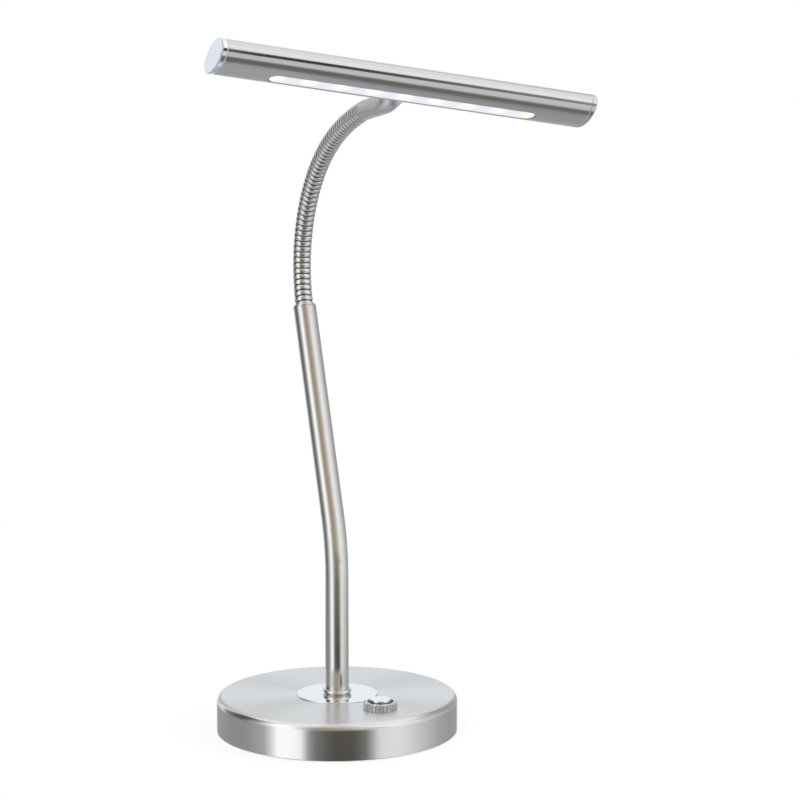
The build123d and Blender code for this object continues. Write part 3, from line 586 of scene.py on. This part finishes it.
NECK_END = neck_points(NECK_PARTS)[-1]
neck_line = neck_points(NECK_FINE)
end_miss = NECK_END - neck_line[-1]
neck_line = [point + end_miss * (index / NECK_FINE) for index, point in enumerate(neck_line)]


def on_neck(share):
    """The middle line's point at a share of the neck's length, or just beyond."""
    if share > 1:
        return NECK_END + along(FERRULE_LEAN) * (share - 1) * NECK_LENGTH
    place = max(share, 0.0) * NECK_FINE
    low = min(int(place), NECK_FINE - 1)
    return neck_line[low].lerp(neck_line[low + 1], place - low)


def coil_finish():
    """Satin wire with painted shade, coloured darker down in the grooves."""
    material = bpy.data.materials.new("coil_wire_nickel")
    nodes = Tree(material)
    rise = nodes.add("Attribute", out=2, attribute_name="bead_height")
    # Painted shade: from the near-black groove colour up to the wire's own colour, by how far out the bead
    # stands.
    shade = mix_colors(nodes, rise.clipped(*GROOVE_SHADE_REACH), GROOVE_PAINTED_SHADE, WIRE_COLOR)
    place = nodes.add("TexCoord", out="Object")
    fleck = nodes.add("TexNoise", {"Vector": place, "Scale": WIRE_FLECK_SCALE, "Detail": 2.0})
    surface = {"Base Color": shade, "Metallic": 1.0, "Roughness": fleck * 0.06 + 0.09}
    nodes.add("OutputMaterial", {"Surface": nodes.add("BsdfPrincipled", surface)})
    return material


coil_nickel = coil_finish()


def bead_swell(phase):
    """How far out the wire's round outside stands, from 0 in a groove to 1."""
    within = phase % 1.0
    return (1 - (2 * within - 1) ** 2) ** BEAD_FULLNESS if within else 0.0


def coil_piece(name, first, last):
    """The coil between two shares of the neck's length, ring by ring."""
    begin = first * NECK_BEADS
    end = last * NECK_BEADS
    inner = [bead + place for bead in range(int(begin), int(end) + 1) for place in BEAD_STATIONS]
    phases = [phase for phase in inner if begin + STATION_GAP < phase < end - STATION_GAP]
    phases = [begin, *phases, end]
    swells = [bead_swell(phase) for phase in phases]
    rings = []
    for phase, swell in zip(phases, swells):
        share = phase / NECK_BEADS
        radius = NECK_GROOVE + (NECK_RADIUS - NECK_GROOVE) * swell
        rings.append(ring_at(on_neck(share), neck_lean(share), radius))
    piece = finished(name, drawn(rings, NECK_SIDES), coil_nickel)
    heights = piece.data.attributes.new("bead_height", "FLOAT", "POINT")
    for index, item in enumerate(heights.data):
        item.value = swells[index // NECK_SIDES]
    return piece


part_share = 1 / NECK_PARTS
coil = coil_piece("coil_01", 0.0, part_share / 2)
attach(coil, "base")
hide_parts("neck_segment_01", "neck_lead")
for index in range(1, NECK_PARTS):
    first = (index - 0.5) * part_share
    last = (index + 0.5) * part_share
    coil = coil_piece(f"coil_{index + 1:02d}", first, last)
    on_neck(first)
    on_neck(last)
    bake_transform(coil)
    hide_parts(f"neck_segment_{index + 1:02d}")
coil = coil_piece(f"coil_{NECK_PARTS + 1}", 1 - part_share / 2, 1.0 + COIL_OVERLAP)
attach(coil, f"neck_{NECK_PARTS:02d}")


# ---------------------------------------------------------------------------
# Ferrule. A short bead-blasted sleeve pressed on the neck's end. It holds the
# swivel's pin, so its front face is the swivel's fine parting line.
# ---------------------------------------------------------------------------

FERRULE_RADIUS = 6.2 * MM
FERRULE_LENGTH = 25.6 * MM
FERRULE_BACK = 3.6 * MM
FERRULE_ROUND = 0.5 * MM
FERRULE_HOLD = 1.2 * MM
FERRULE_BORE = 5.4 * MM
FERRULE_SIDES = 56
SWIVEL_BORE = 3.7 * MM
SPECKLE_SCALE = 2600.0


def blasted_speckle(nodes):
    """The fine even grain that bead blasting leaves."""
    place = nodes.add("TexCoord", out="Object")
    return nodes.add("TexNoise", {"Vector": place, "Scale": SPECKLE_SCALE, "Detail": 2.0, "Roughness": 0.6})


matte_nickel = metal("blasted_nickel", (0.70, 0.705, 0.725), 0.36, blasted_speckle, 0.10)
rear_round = (FERRULE_RADIUS - FERRULE_ROUND, FERRULE_BACK + FERRULE_ROUND)
front_round = (FERRULE_RADIUS - FERRULE_ROUND, FERRULE_LENGTH - FERRULE_ROUND)
ferrule_outline = [(FERRULE_BORE, FERRULE_BACK)] + arc(rear_round, FERRULE_ROUND, -90, 0, 5)
ferrule_outline += [(FERRULE_RADIUS, FERRULE_BACK + FERRULE_HOLD)]
ferrule_outline += [(FERRULE_RADIUS, FERRULE_LENGTH - FERRULE_HOLD)]
ferrule_outline += arc(front_round, FERRULE_ROUND, 0, 90, 5) + [(SWIVEL_BORE, FERRULE_LENGTH)]
ferrule_mesh = turned_about(ferrule_outline, NECK_END, FERRULE_LEAN, FERRULE_SIDES)
finished("ferrule_sleeve", ferrule_mesh, matte_nickel, f"neck_{NECK_PARTS:02d}", "head_ferrule")


# ---------------------------------------------------------------------------
# Light bar's axes. The bar is rolled a little on its swivel and tips up to the
# front; every piece of the head is shaped level first and then placed by this.
# ---------------------------------------------------------------------------

HEAD_ROLL = radians(7.8)
HEAD_RISE = radians(22.8)
STUB_TO_BEND = 10.0 * MM
STUB_TO_EDGE = 11.6 * MM
BAR_HALF_WIDTH = 16.5 * MM
BAR_HALF_DEPTH = 8.5 * MM
BAR_LENGTH = 236.0 * MM
CAP_THICK = 3.3 * MM

STUB_TURN = pi / 2 - FERRULE_LEAN - HEAD_RISE


def moved_on(place, distance, turn_by, axis="X"):
    """A place moved along its own Z and then turned about one of its axes."""
    return place @ Matrix.Translation((0, 0, distance)) @ Matrix.Rotation(turn_by, 4, axis)


ferrule_place = ring_at(NECK_END, FERRULE_LEAN, 1.0)
swivel_place = moved_on(ferrule_place, FERRULE_LENGTH, -HEAD_ROLL, "Z")
stub_bend = moved_on(swivel_place, STUB_TO_BEND, STUB_TURN)
BAR_PLACE = moved_on(stub_bend, STUB_TO_EDGE + BAR_HALF_WIDTH, -pi / 2)
BAR_AXES = [BAR_PLACE.to_3x3() @ Vector(axis) for axis in ((1, 0, 0), (0, 1, 0), (0, 0, 1))]


# ---------------------------------------------------------------------------
# Stub. The swivel's turning half: a blasted elbow whose front end goes into the
# bar's rear edge, with a fine gap between it and the ferrule.
# ---------------------------------------------------------------------------

STUB_SIDES = 56
STUB_GAP = 0.35 * MM
STUB_ROUND = 0.45 * MM
STUB_INTO_BAR = 6.0 * MM
STUB_BEND_REACH = 3.0 * MM
STUB_BEND_STEPS = 8
STUB_FACE_STATIONS_MM = (0.0, 0.15, 0.45, 0.9)

stub_rings = []
for away_mm in STUB_FACE_STATIONS_MM:
    rounding = FERRULE_ROUND * (1 - sqrt(1 - (1 - min(away_mm * MM / STUB_ROUND, 1.0)) ** 2))
    out_by = Matrix.Translation((0, 0, STUB_GAP + away_mm * MM))
    stub_rings.append(swivel_place @ out_by @ Matrix.Scale(FERRULE_RADIUS - rounding, 4))
bend_start = swivel_place @ Vector((0, 0, STUB_TO_BEND - STUB_BEND_REACH))
bend_stop = stub_bend @ Vector((0, 0, STUB_BEND_REACH))
for step in range(STUB_BEND_STEPS + 1):
    share = step / STUB_BEND_STEPS
    before_bend = bend_start.lerp(stub_bend.translation, share)
    after_bend = stub_bend.translation.lerp(bend_stop, share)
    spot = before_bend.lerp(after_bend, share)
    facing = swivel_place.to_3x3().to_4x4() @ Matrix.Rotation(STUB_TURN * share, 4, "X")
    stub_rings.append(Matrix.Translation(spot) @ facing @ Matrix.Scale(FERRULE_RADIUS, 4))
into_bar = Matrix.Translation((0, 0, STUB_TO_EDGE + STUB_INTO_BAR))
stub_rings.append(stub_bend @ into_bar @ Matrix.Scale(FERRULE_RADIUS, 4))
finished("stub_elbow", drawn(stub_rings, STUB_SIDES, closed=True), matte_nickel, "head", "head_stub")


# ---------------------------------------------------------------------------
# Bar tube. Extruded oval aluminium with a satin plate, brushed along its
# length. A long slot with round ends is milled in its lower wide face.
# ---------------------------------------------------------------------------

BAR_WALL = 1.2 * MM
BAR_SIDES = 160
BAR_GRAIN = (60.0, 4200.0, 4200.0)
SLOT_LENGTH = 168.0 * MM
SLOT_WIDTH = 10.0 * MM
SLOT_SHIFT = 1.5 * MM
SLOT_SIDES = 48
SLOT_TOP = -5.1 * MM
SLOT_RIM = 0.35 * MM
SLOT_RIM_TOP = -7.75 * MM
CUT_BELOW = 2 * MM
CAP_GROOVE = 0.25 * MM
OFF_MIDDLE = 1e-9
SKIN_REACH = 0.985
END_TILT = 0.3


def oval_skin(stations, wall=0.0, closed=False):
    """An oval tube along X through stations of (x, shrink), a wall further in."""
    rings = []
    for x, shrink in stations:
        size = Matrix.Diagonal((1, BAR_HALF_WIDTH - wall - shrink, BAR_HALF_DEPTH - wall - shrink, 1))
        rings.append(Matrix.Translation((x, 0, 0)) @ size @ Matrix.Rotation(pi / 2, 4, "Y"))
    return drawn(rings, BAR_SIDES, closed)


def slot_prism(spread, low, high):
    """A prism like the slot but wider all round, upright between two heights."""
    length, width = SLOT_LENGTH + 2 * spread, SLOT_WIDTH + 2 * spread
    mesh = bmesh.new()
    bmesh.ops.create_circle(mesh, segments=SLOT_SIDES, radius=width / 2, cap_ends=True)
    for side in (-1, 1):
        half = [vert for vert in mesh.verts if vert.co.x * side > OFF_MIDDLE]
        bmesh.ops.translate(mesh, vec=(side * (length - width) / 2, 0, 0), verts=half)
    bmesh.ops.translate(mesh, vec=(0, SLOT_SHIFT, low), verts=mesh.verts)
    grown = bmesh.ops.extrude_face_region(mesh, geom=mesh.faces[:])["geom"]
    raised = [item for item in grown if isinstance(item, bmesh.types.BMVert)]
    bmesh.ops.translate(mesh, vec=(0, 0, high - low), verts=raised)
    bmesh.ops.recalc_face_normals(mesh, faces=mesh.faces)
    return mesh


def bar_lines(nodes):
    """Long fine lines that run with the bar."""
    place = nodes.add("TexCoord", out="Object")
    runs = [component(nodes, place, axis) for axis in BAR_AXES]
    grooves = nodes.add("CombineXYZ", {i: run * grain for i, (run, grain) in enumerate(zip(runs, BAR_GRAIN))})
    return nodes.add("TexNoise", {"Vector": grooves, "Scale": 1.0, "Detail": 2.0, "Roughness": 0.6})


bar_drop = BAR_AXES[2].dot(BAR_PLACE.translation)
UNDER_SOFTNESS = (-BAR_AXES[2], 6.4 * MM - bar_drop, 7.9 * MM - bar_drop, 0.30)
bar_nickel = metal("bar_satin_nickel", (0.70, 0.70, 0.69), 0.14, bar_lines, 0.02, softer=UNDER_SOFTNESS)
# Painted light: the slot's milled faces are coloured warm brown for the LEDs' light falling on them.
slot_edge_painted_glow = metal("slot_edge_painted_warm_glow", (0.45, 0.36, 0.24), 0.30, blasted_speckle, 0.10)
TUBE_END = BAR_LENGTH / 2 - CAP_THICK
tube_stations = [(-TUBE_END, CAP_GROOVE), (-TUBE_END + CAP_GROOVE, 0.0), (-TUBE_END + MM, 0.0)]
tube_stations += [(share * TUBE_END, 0.0) for share in (-0.8, -0.4, 0.0, 0.4, 0.8)]
tube_stations += [(TUBE_END - MM, 0.0), (TUBE_END - CAP_GROOVE, 0.0), (TUBE_END, CAP_GROOVE)]
bar_mesh = oval_skin(tube_stations)
inner_mesh = oval_skin([(TUBE_END, 0.0), (-TUBE_END, 0.0)], BAR_WALL)
inner_data = bpy.data.meshes.new("bar_inner")
inner_mesh.to_mesh(inner_data)
inner_mesh.free()
bar_mesh.from_mesh(inner_data)
bpy.data.meshes.remove(inner_data)
open_edges = [edge for edge in bar_mesh.edges if edge.is_boundary]
for side in (-1, 1):
    bmesh.ops.bridge_loops(bar_mesh, edges=[edge for edge in open_edges if edge.verts[0].co.x * side > 0])
bar = finished("bar_tube", bar_mesh, bar_nickel)
bar.data.materials.append(slot_edge_painted_glow)

# The slot is cut in two steps: the opening itself, and a fine rim round its mouth. The cut faces take the
# second material, whose warm brown is painted light from the LEDs on the milled edge.
for spread, rise in ((0.0, SLOT_TOP), (SLOT_RIM, SLOT_RIM_TOP)):
    cutter = finished("slot_cutter", slot_prism(spread, -BAR_HALF_DEPTH - CUT_BELOW, rise), bar_nickel)
    for face in cutter.data.polygons:
        face.material_index = 1
    milling = bar.modifiers.new("slot", "BOOLEAN")
    milling.object = cutter
    milling.operation = "DIFFERENCE"
    milling.solver = "EXACT"
    bpy.context.view_layer.update()
    cut_data = bpy.data.meshes.new_from_object(bar.evaluated_get(bpy.context.evaluated_depsgraph_get()))
    bar.modifiers.clear()
    bar.data = cut_data
    bpy.data.objects.remove(cutter)
cut_data.shade_smooth()

# The oval's own normals keep the skin smooth beside the cut; all else is flat.
bar_normals = []
for face in cut_data.polygons:
    middle = face.center
    reach = sqrt((middle.y / BAR_HALF_WIDTH) ** 2 + (middle.z / BAR_HALF_DEPTH) ** 2)
    is_outside = reach > SKIN_REACH and abs(face.normal.x) < END_TILT and face.material_index == 0
    for corner in face.vertices:
        spot = cut_data.vertices[corner].co
        smooth = Vector((0, spot.y / BAR_HALF_WIDTH ** 2, spot.z / BAR_HALF_DEPTH ** 2)).normalized()
        bar_normals.append(tuple(smooth if is_outside else face.normal))
cut_data.normals_split_custom_set(bar_normals)
cut_data.transform(BAR_PLACE)
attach(bar, "head")
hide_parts("head_shell")


# ---------------------------------------------------------------------------
# End caps. Solid oval caps pressed into the tube's ends with a fine groove at the
# joint. The left one is polished to a mirror, the right one satin like the tube.
# ---------------------------------------------------------------------------

CAP_BEVEL = 0.7 * MM
CAP_PLUG = 2.0 * MM
CAP_BEVEL_STEPS = 6

cap_end = BAR_LENGTH / 2
cap_stations = [(cap_end - CAP_THICK, CAP_PLUG), (cap_end - CAP_THICK, CAP_GROOVE)]
cap_stations += [(cap_end - CAP_THICK + CAP_GROOVE * share, 0.0) for share in (1, 2)]
cap_stations += [(cap_end - CAP_BEVEL - EDGE_HOLD, 0.0)]
for step in range(CAP_BEVEL_STEPS + 1):
    angle = pi / 2 * step / CAP_BEVEL_STEPS
    cap_stations.append((cap_end - CAP_BEVEL * (1 - sin(angle)), CAP_BEVEL * (1 - cos(angle))))
cap_stations.append((cap_end, CAP_BEVEL + EDGE_HOLD))
cap_nickel = metal("cap_mirror_nickel", (0.84, 0.87, 0.91), 0.06)
for word, turn_by, finish in (("left", pi, cap_nickel), ("right", 0.0, bar_nickel)):
    cap_mesh = oval_skin(cap_stations, closed=True)
    bmesh.ops.transform(cap_mesh, matrix=BAR_PLACE @ Matrix.Rotation(turn_by, 4, "Z"), verts=cap_mesh.verts)
    finished(f"cap_{word}", cap_mesh, finish, "head", f"end_cap_{word}")


# ---------------------------------------------------------------------------
# Light. Nine LEDs at an even pitch shine through a frosted acrylic strip that
# lies in the slot, a little in from the bar's face.
# ---------------------------------------------------------------------------

LENS_LOW = -7.7 * MM
LENS_HIGH = -6.6 * MM
LENS_GAP = 0.1 * MM
LENS_ROUND = 0.35 * MM
LENS_ON_FACE = 1e-7
LENS_COLOR = (0.10, 0.10, 0.11, 1)
LENS_FROST_SCALE = 900.0
LED_PITCH = 20.0 * MM
LED_SPOT_SHIFT = 0.03
LED_HALO = (0.10, 0.38)
LED_SPOT = (0.04, 0.22)
BETWEEN_LEDS = (0.74, 0.75, 0.84, 1)
ROUND_LED = (1.0, 0.93, 0.76, 1)
BEFORE_LED = (1.05, 1.05, 1.0, 1)
GLOW_STRENGTH = 0.95


def lit_acrylic():
    """Milky acrylic, warm white before each LED and cooler between them."""
    material = bpy.data.materials.new("lit_frosted_acrylic")
    nodes = Tree(material)
    place = nodes.add("TexCoord", out="Object")
    offset = nodes.add("VectorMath", {0: place, 1: tuple(BAR_PLACE.translation)}, operation="SUBTRACT")
    phase = (component(nodes, offset, BAR_AXES[0]) * (1 / LED_PITCH) + 0.5).math("FRACT") - 0.5
    aside = component(nodes, offset, BAR_AXES[1]) * (1 / LED_PITCH) + LED_SPOT_SHIFT
    away_from_led = (phase * phase + aside * aside).math("SQRT")
    frost = nodes.add("TexNoise", {"Vector": offset, "Scale": LENS_FROST_SCALE, "Detail": 2.0})
    halo = 1.0 - away_from_led.clipped(*LED_HALO)
    spot = 1.0 - away_from_led.clipped(*LED_SPOT)
    tint = mix_colors(nodes, halo, BETWEEN_LEDS, ROUND_LED)
    tint = mix_colors(nodes, spot, tint, BEFORE_LED)
    surface = {
        "Base Color": LENS_COLOR, "Roughness": frost * 0.2 + 0.3, "Emission Color": tint,
        "Emission Strength": GLOW_STRENGTH,
    }
    nodes.add("OutputMaterial", {"Surface": nodes.add("BsdfPrincipled", surface)})
    return material


def on_lower_face(edge):
    """Whether both ends of an edge lie on the strip's lower face."""
    return all(abs(vert.co.z - LENS_LOW) < LENS_ON_FACE for vert in edge.verts)


lens_mesh = slot_prism(-LENS_GAP, LENS_LOW, LENS_HIGH)
lower_edges = [edge for edge in lens_mesh.edges if on_lower_face(edge)]
bmesh.ops.bevel(
    lens_mesh, geom=lower_edges, offset=LENS_ROUND, offset_type="OFFSET", segments=3, profile=0.5,
    affect="EDGES", material=-1,
)
bmesh.ops.transform(lens_mesh, matrix=BAR_PLACE, verts=lens_mesh.verts)
finished("light_strip", lens_mesh, lit_acrylic(), "head", "light_lens")


# ---------------------------------------------------------------------------
# Switch. A push button with a mirror top stands in a fluted ring, which is
# screwed to the switch below the base and can be gripped by its flutes.
# ---------------------------------------------------------------------------

RING_LOW, RING_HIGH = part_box("switch_ring")
BUTTON_LOW, BUTTON_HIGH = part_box("switch_button")
SWITCH_CENTER = ((BUTTON_LOW.x + BUTTON_HIGH.x) / 2, (BUTTON_LOW.y + BUTTON_HIGH.y) / 2)
RING_RADIUS = 10.6 * MM
RING_BORE = 7.0 * MM
RING_FLUTES = 28
RING_SHOULDER = 1.0 * MM
RING_FOOT = 0.4 * MM
RING_HOLD = 0.2 * MM
RING_TOP_IN = 0.9 * MM
RING_LIP_IN = 0.3 * MM
RING_LIP_LOW = 0.1 * MM
RING_BEVEL = 0.4 * MM
FLUTE_DEPTH = 0.8 * MM
FLUTE_REACH = 1.3 * MM
FLUTE_POWER = 0.8
STEPS_PER_FLUTE = 10
BUTTON_RADIUS = 6.8 * MM
BUTTON_ROUND = 0.4 * MM
BUTTON_BELOW_RING = 1.5 * MM


def fluted_ring():
    """A turned ring whose outer wall is pushed in at each flute."""
    low, high = RING_LOW.z, RING_HIGH.z
    outline = [(RING_BORE, low), (RING_RADIUS, low), (RING_RADIUS, low + RING_FOOT)]
    outline += [(RING_RADIUS, high - RING_SHOULDER - RING_HOLD)]
    outline += arc((RING_RADIUS - RING_SHOULDER, high - RING_SHOULDER), RING_SHOULDER, 0, 90, 6)
    outline += [(RING_BORE + RING_TOP_IN, high), (RING_BORE + RING_LIP_IN, high - RING_LIP_LOW)]
    outline += [(RING_BORE, high - RING_BEVEL), (RING_BORE, low)]
    mesh = turned(outline, RING_FLUTES * STEPS_PER_FLUTE)
    for vert in mesh.verts:
        radius = sqrt(vert.co.x ** 2 + vert.co.y ** 2)
        share = min(max((radius - (RING_RADIUS - FLUTE_REACH)) / FLUTE_REACH, 0), 1)
        swing = cos(RING_FLUTES * atan2(vert.co.y, vert.co.x))
        push = FLUTE_DEPTH * share * max(0.0, swing) ** FLUTE_POWER
        vert.co.x *= 1 - push / radius
        vert.co.y *= 1 - push / radius
    bmesh.ops.translate(mesh, vec=(*SWITCH_CENTER, 0), verts=mesh.verts)
    return mesh


bezel_nickel = metal("bezel_polished_nickel", (0.62, 0.63, 0.64), 0.12)
finished("switch_bezel", fluted_ring(), bezel_nickel, "base", "switch_ring")
button_outline = [(BUTTON_RADIUS, RING_LOW.z - BUTTON_BELOW_RING)]
button_outline += [(BUTTON_RADIUS, BUTTON_HIGH.z - BUTTON_ROUND - EDGE_HOLD)]
button_outline += arc((BUTTON_RADIUS - BUTTON_ROUND, BUTTON_HIGH.z - BUTTON_ROUND), BUTTON_ROUND, 0, 90, 6)
button_outline += [(BUTTON_RADIUS - BUTTON_ROUND - EDGE_HOLD, BUTTON_HIGH.z), (0, BUTTON_HIGH.z)]
button_mesh = turned(button_outline, SMALL_LATHE_STEPS, SWITCH_CENTER)
finished("button_cap", button_mesh, mirror_nickel, "button", "switch_button")


# ---------------------------------------------------------------------------
# Underside, inlet and inside. A dark felt disc covers the steel plate, a moulded
# rubber grommet lines the cord's hole, and each inner piece has its own finish.
# ---------------------------------------------------------------------------

GRAIN_CONTRAST = 1.5
GRAIN_LIFT = 0.01
GRAIN_HEIGHT = 0.2 * MM


def soft_finish(name, color, roughness, scale, strength):
    """A dull moulded or woven surface with fine grain."""
    material = bpy.data.materials.new(name)
    nodes = Tree(material)
    place = nodes.add("TexCoord", out="Object")
    grain = nodes.add("TexNoise", {"Vector": place, "Scale": scale, "Detail": 4.0, "Roughness": 0.7})
    light = tuple(min(1.0, c * GRAIN_CONTRAST + GRAIN_LIFT) for c in color)
    shade = mix_colors(nodes, grain, (*color, 1), (*light, 1))
    bump = nodes.add("Bump", {"Strength": strength, "Distance": GRAIN_HEIGHT, "Height": grain})
    surface = nodes.add("BsdfPrincipled", {"Base Color": shade, "Roughness": roughness, "Normal": bump})
    nodes.add("OutputMaterial", {"Surface": surface})
    return material


zinc_plate = metal("zinc_plate", (0.62, 0.63, 0.66), 0.4, blasted_speckle, 0.1)
black_nylon = soft_finish("black_nylon", (0.03, 0.03, 0.032), 0.5, 1200.0, 0.15)
black_lead = soft_finish("black_lead", (0.03, 0.03, 0.03), 0.45, 900.0, 0.1)
CAD_FINISHES = (
    (soft_finish("black_felt", (0.02, 0.02, 0.022), 0.95, 1800.0, 0.6), "foot_pad"),
    (soft_finish("black_rubber", (0.02, 0.02, 0.02), 0.6, 900.0, 0.2), "cable_grommet"),
    (soft_finish("cast_iron", (0.05, 0.05, 0.055), 0.8, 500.0, 0.5), "base_weight"),
    (soft_finish("green_lacquer", (0.02, 0.16, 0.07), 0.35, 700.0, 0.1), "driver_board"),
    (soft_finish("white_solder_mask", (0.75, 0.75, 0.74), 0.4, 700.0, 0.05), "led_board"),
    (soft_finish("yellow_phosphor", (0.85, 0.68, 0.2), 0.4, 1500.0, 0.1), "led_packages"),
    (metal("brass_blades", (0.83, 0.62, 0.3), 0.3, blasted_speckle, 0.05), "switch_terminals"),
    (metal("mill_aluminium", (0.78, 0.79, 0.8), 0.35, blasted_speckle, 0.05), "led_carrier"),
    (black_nylon, "driver_tray", "switch_housing", "driver_components"),
    (black_lead, "stem_lead", "switch_lead", "head_lead"),
    (zinc_plate, "base_plate", "base_screws", "stem_bush", "stem_nipple", "stem_washer", "stem_nut"),
    (zinc_plate, "switch_spring", "swivel_washer", "swivel_retainer", "stub_nut", "led_screws"),
)
for finish, *nodes in CAD_FINISHES:
    for node in nodes:
        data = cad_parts[node].data
        data.materials.clear()
        data.materials.append(finish)
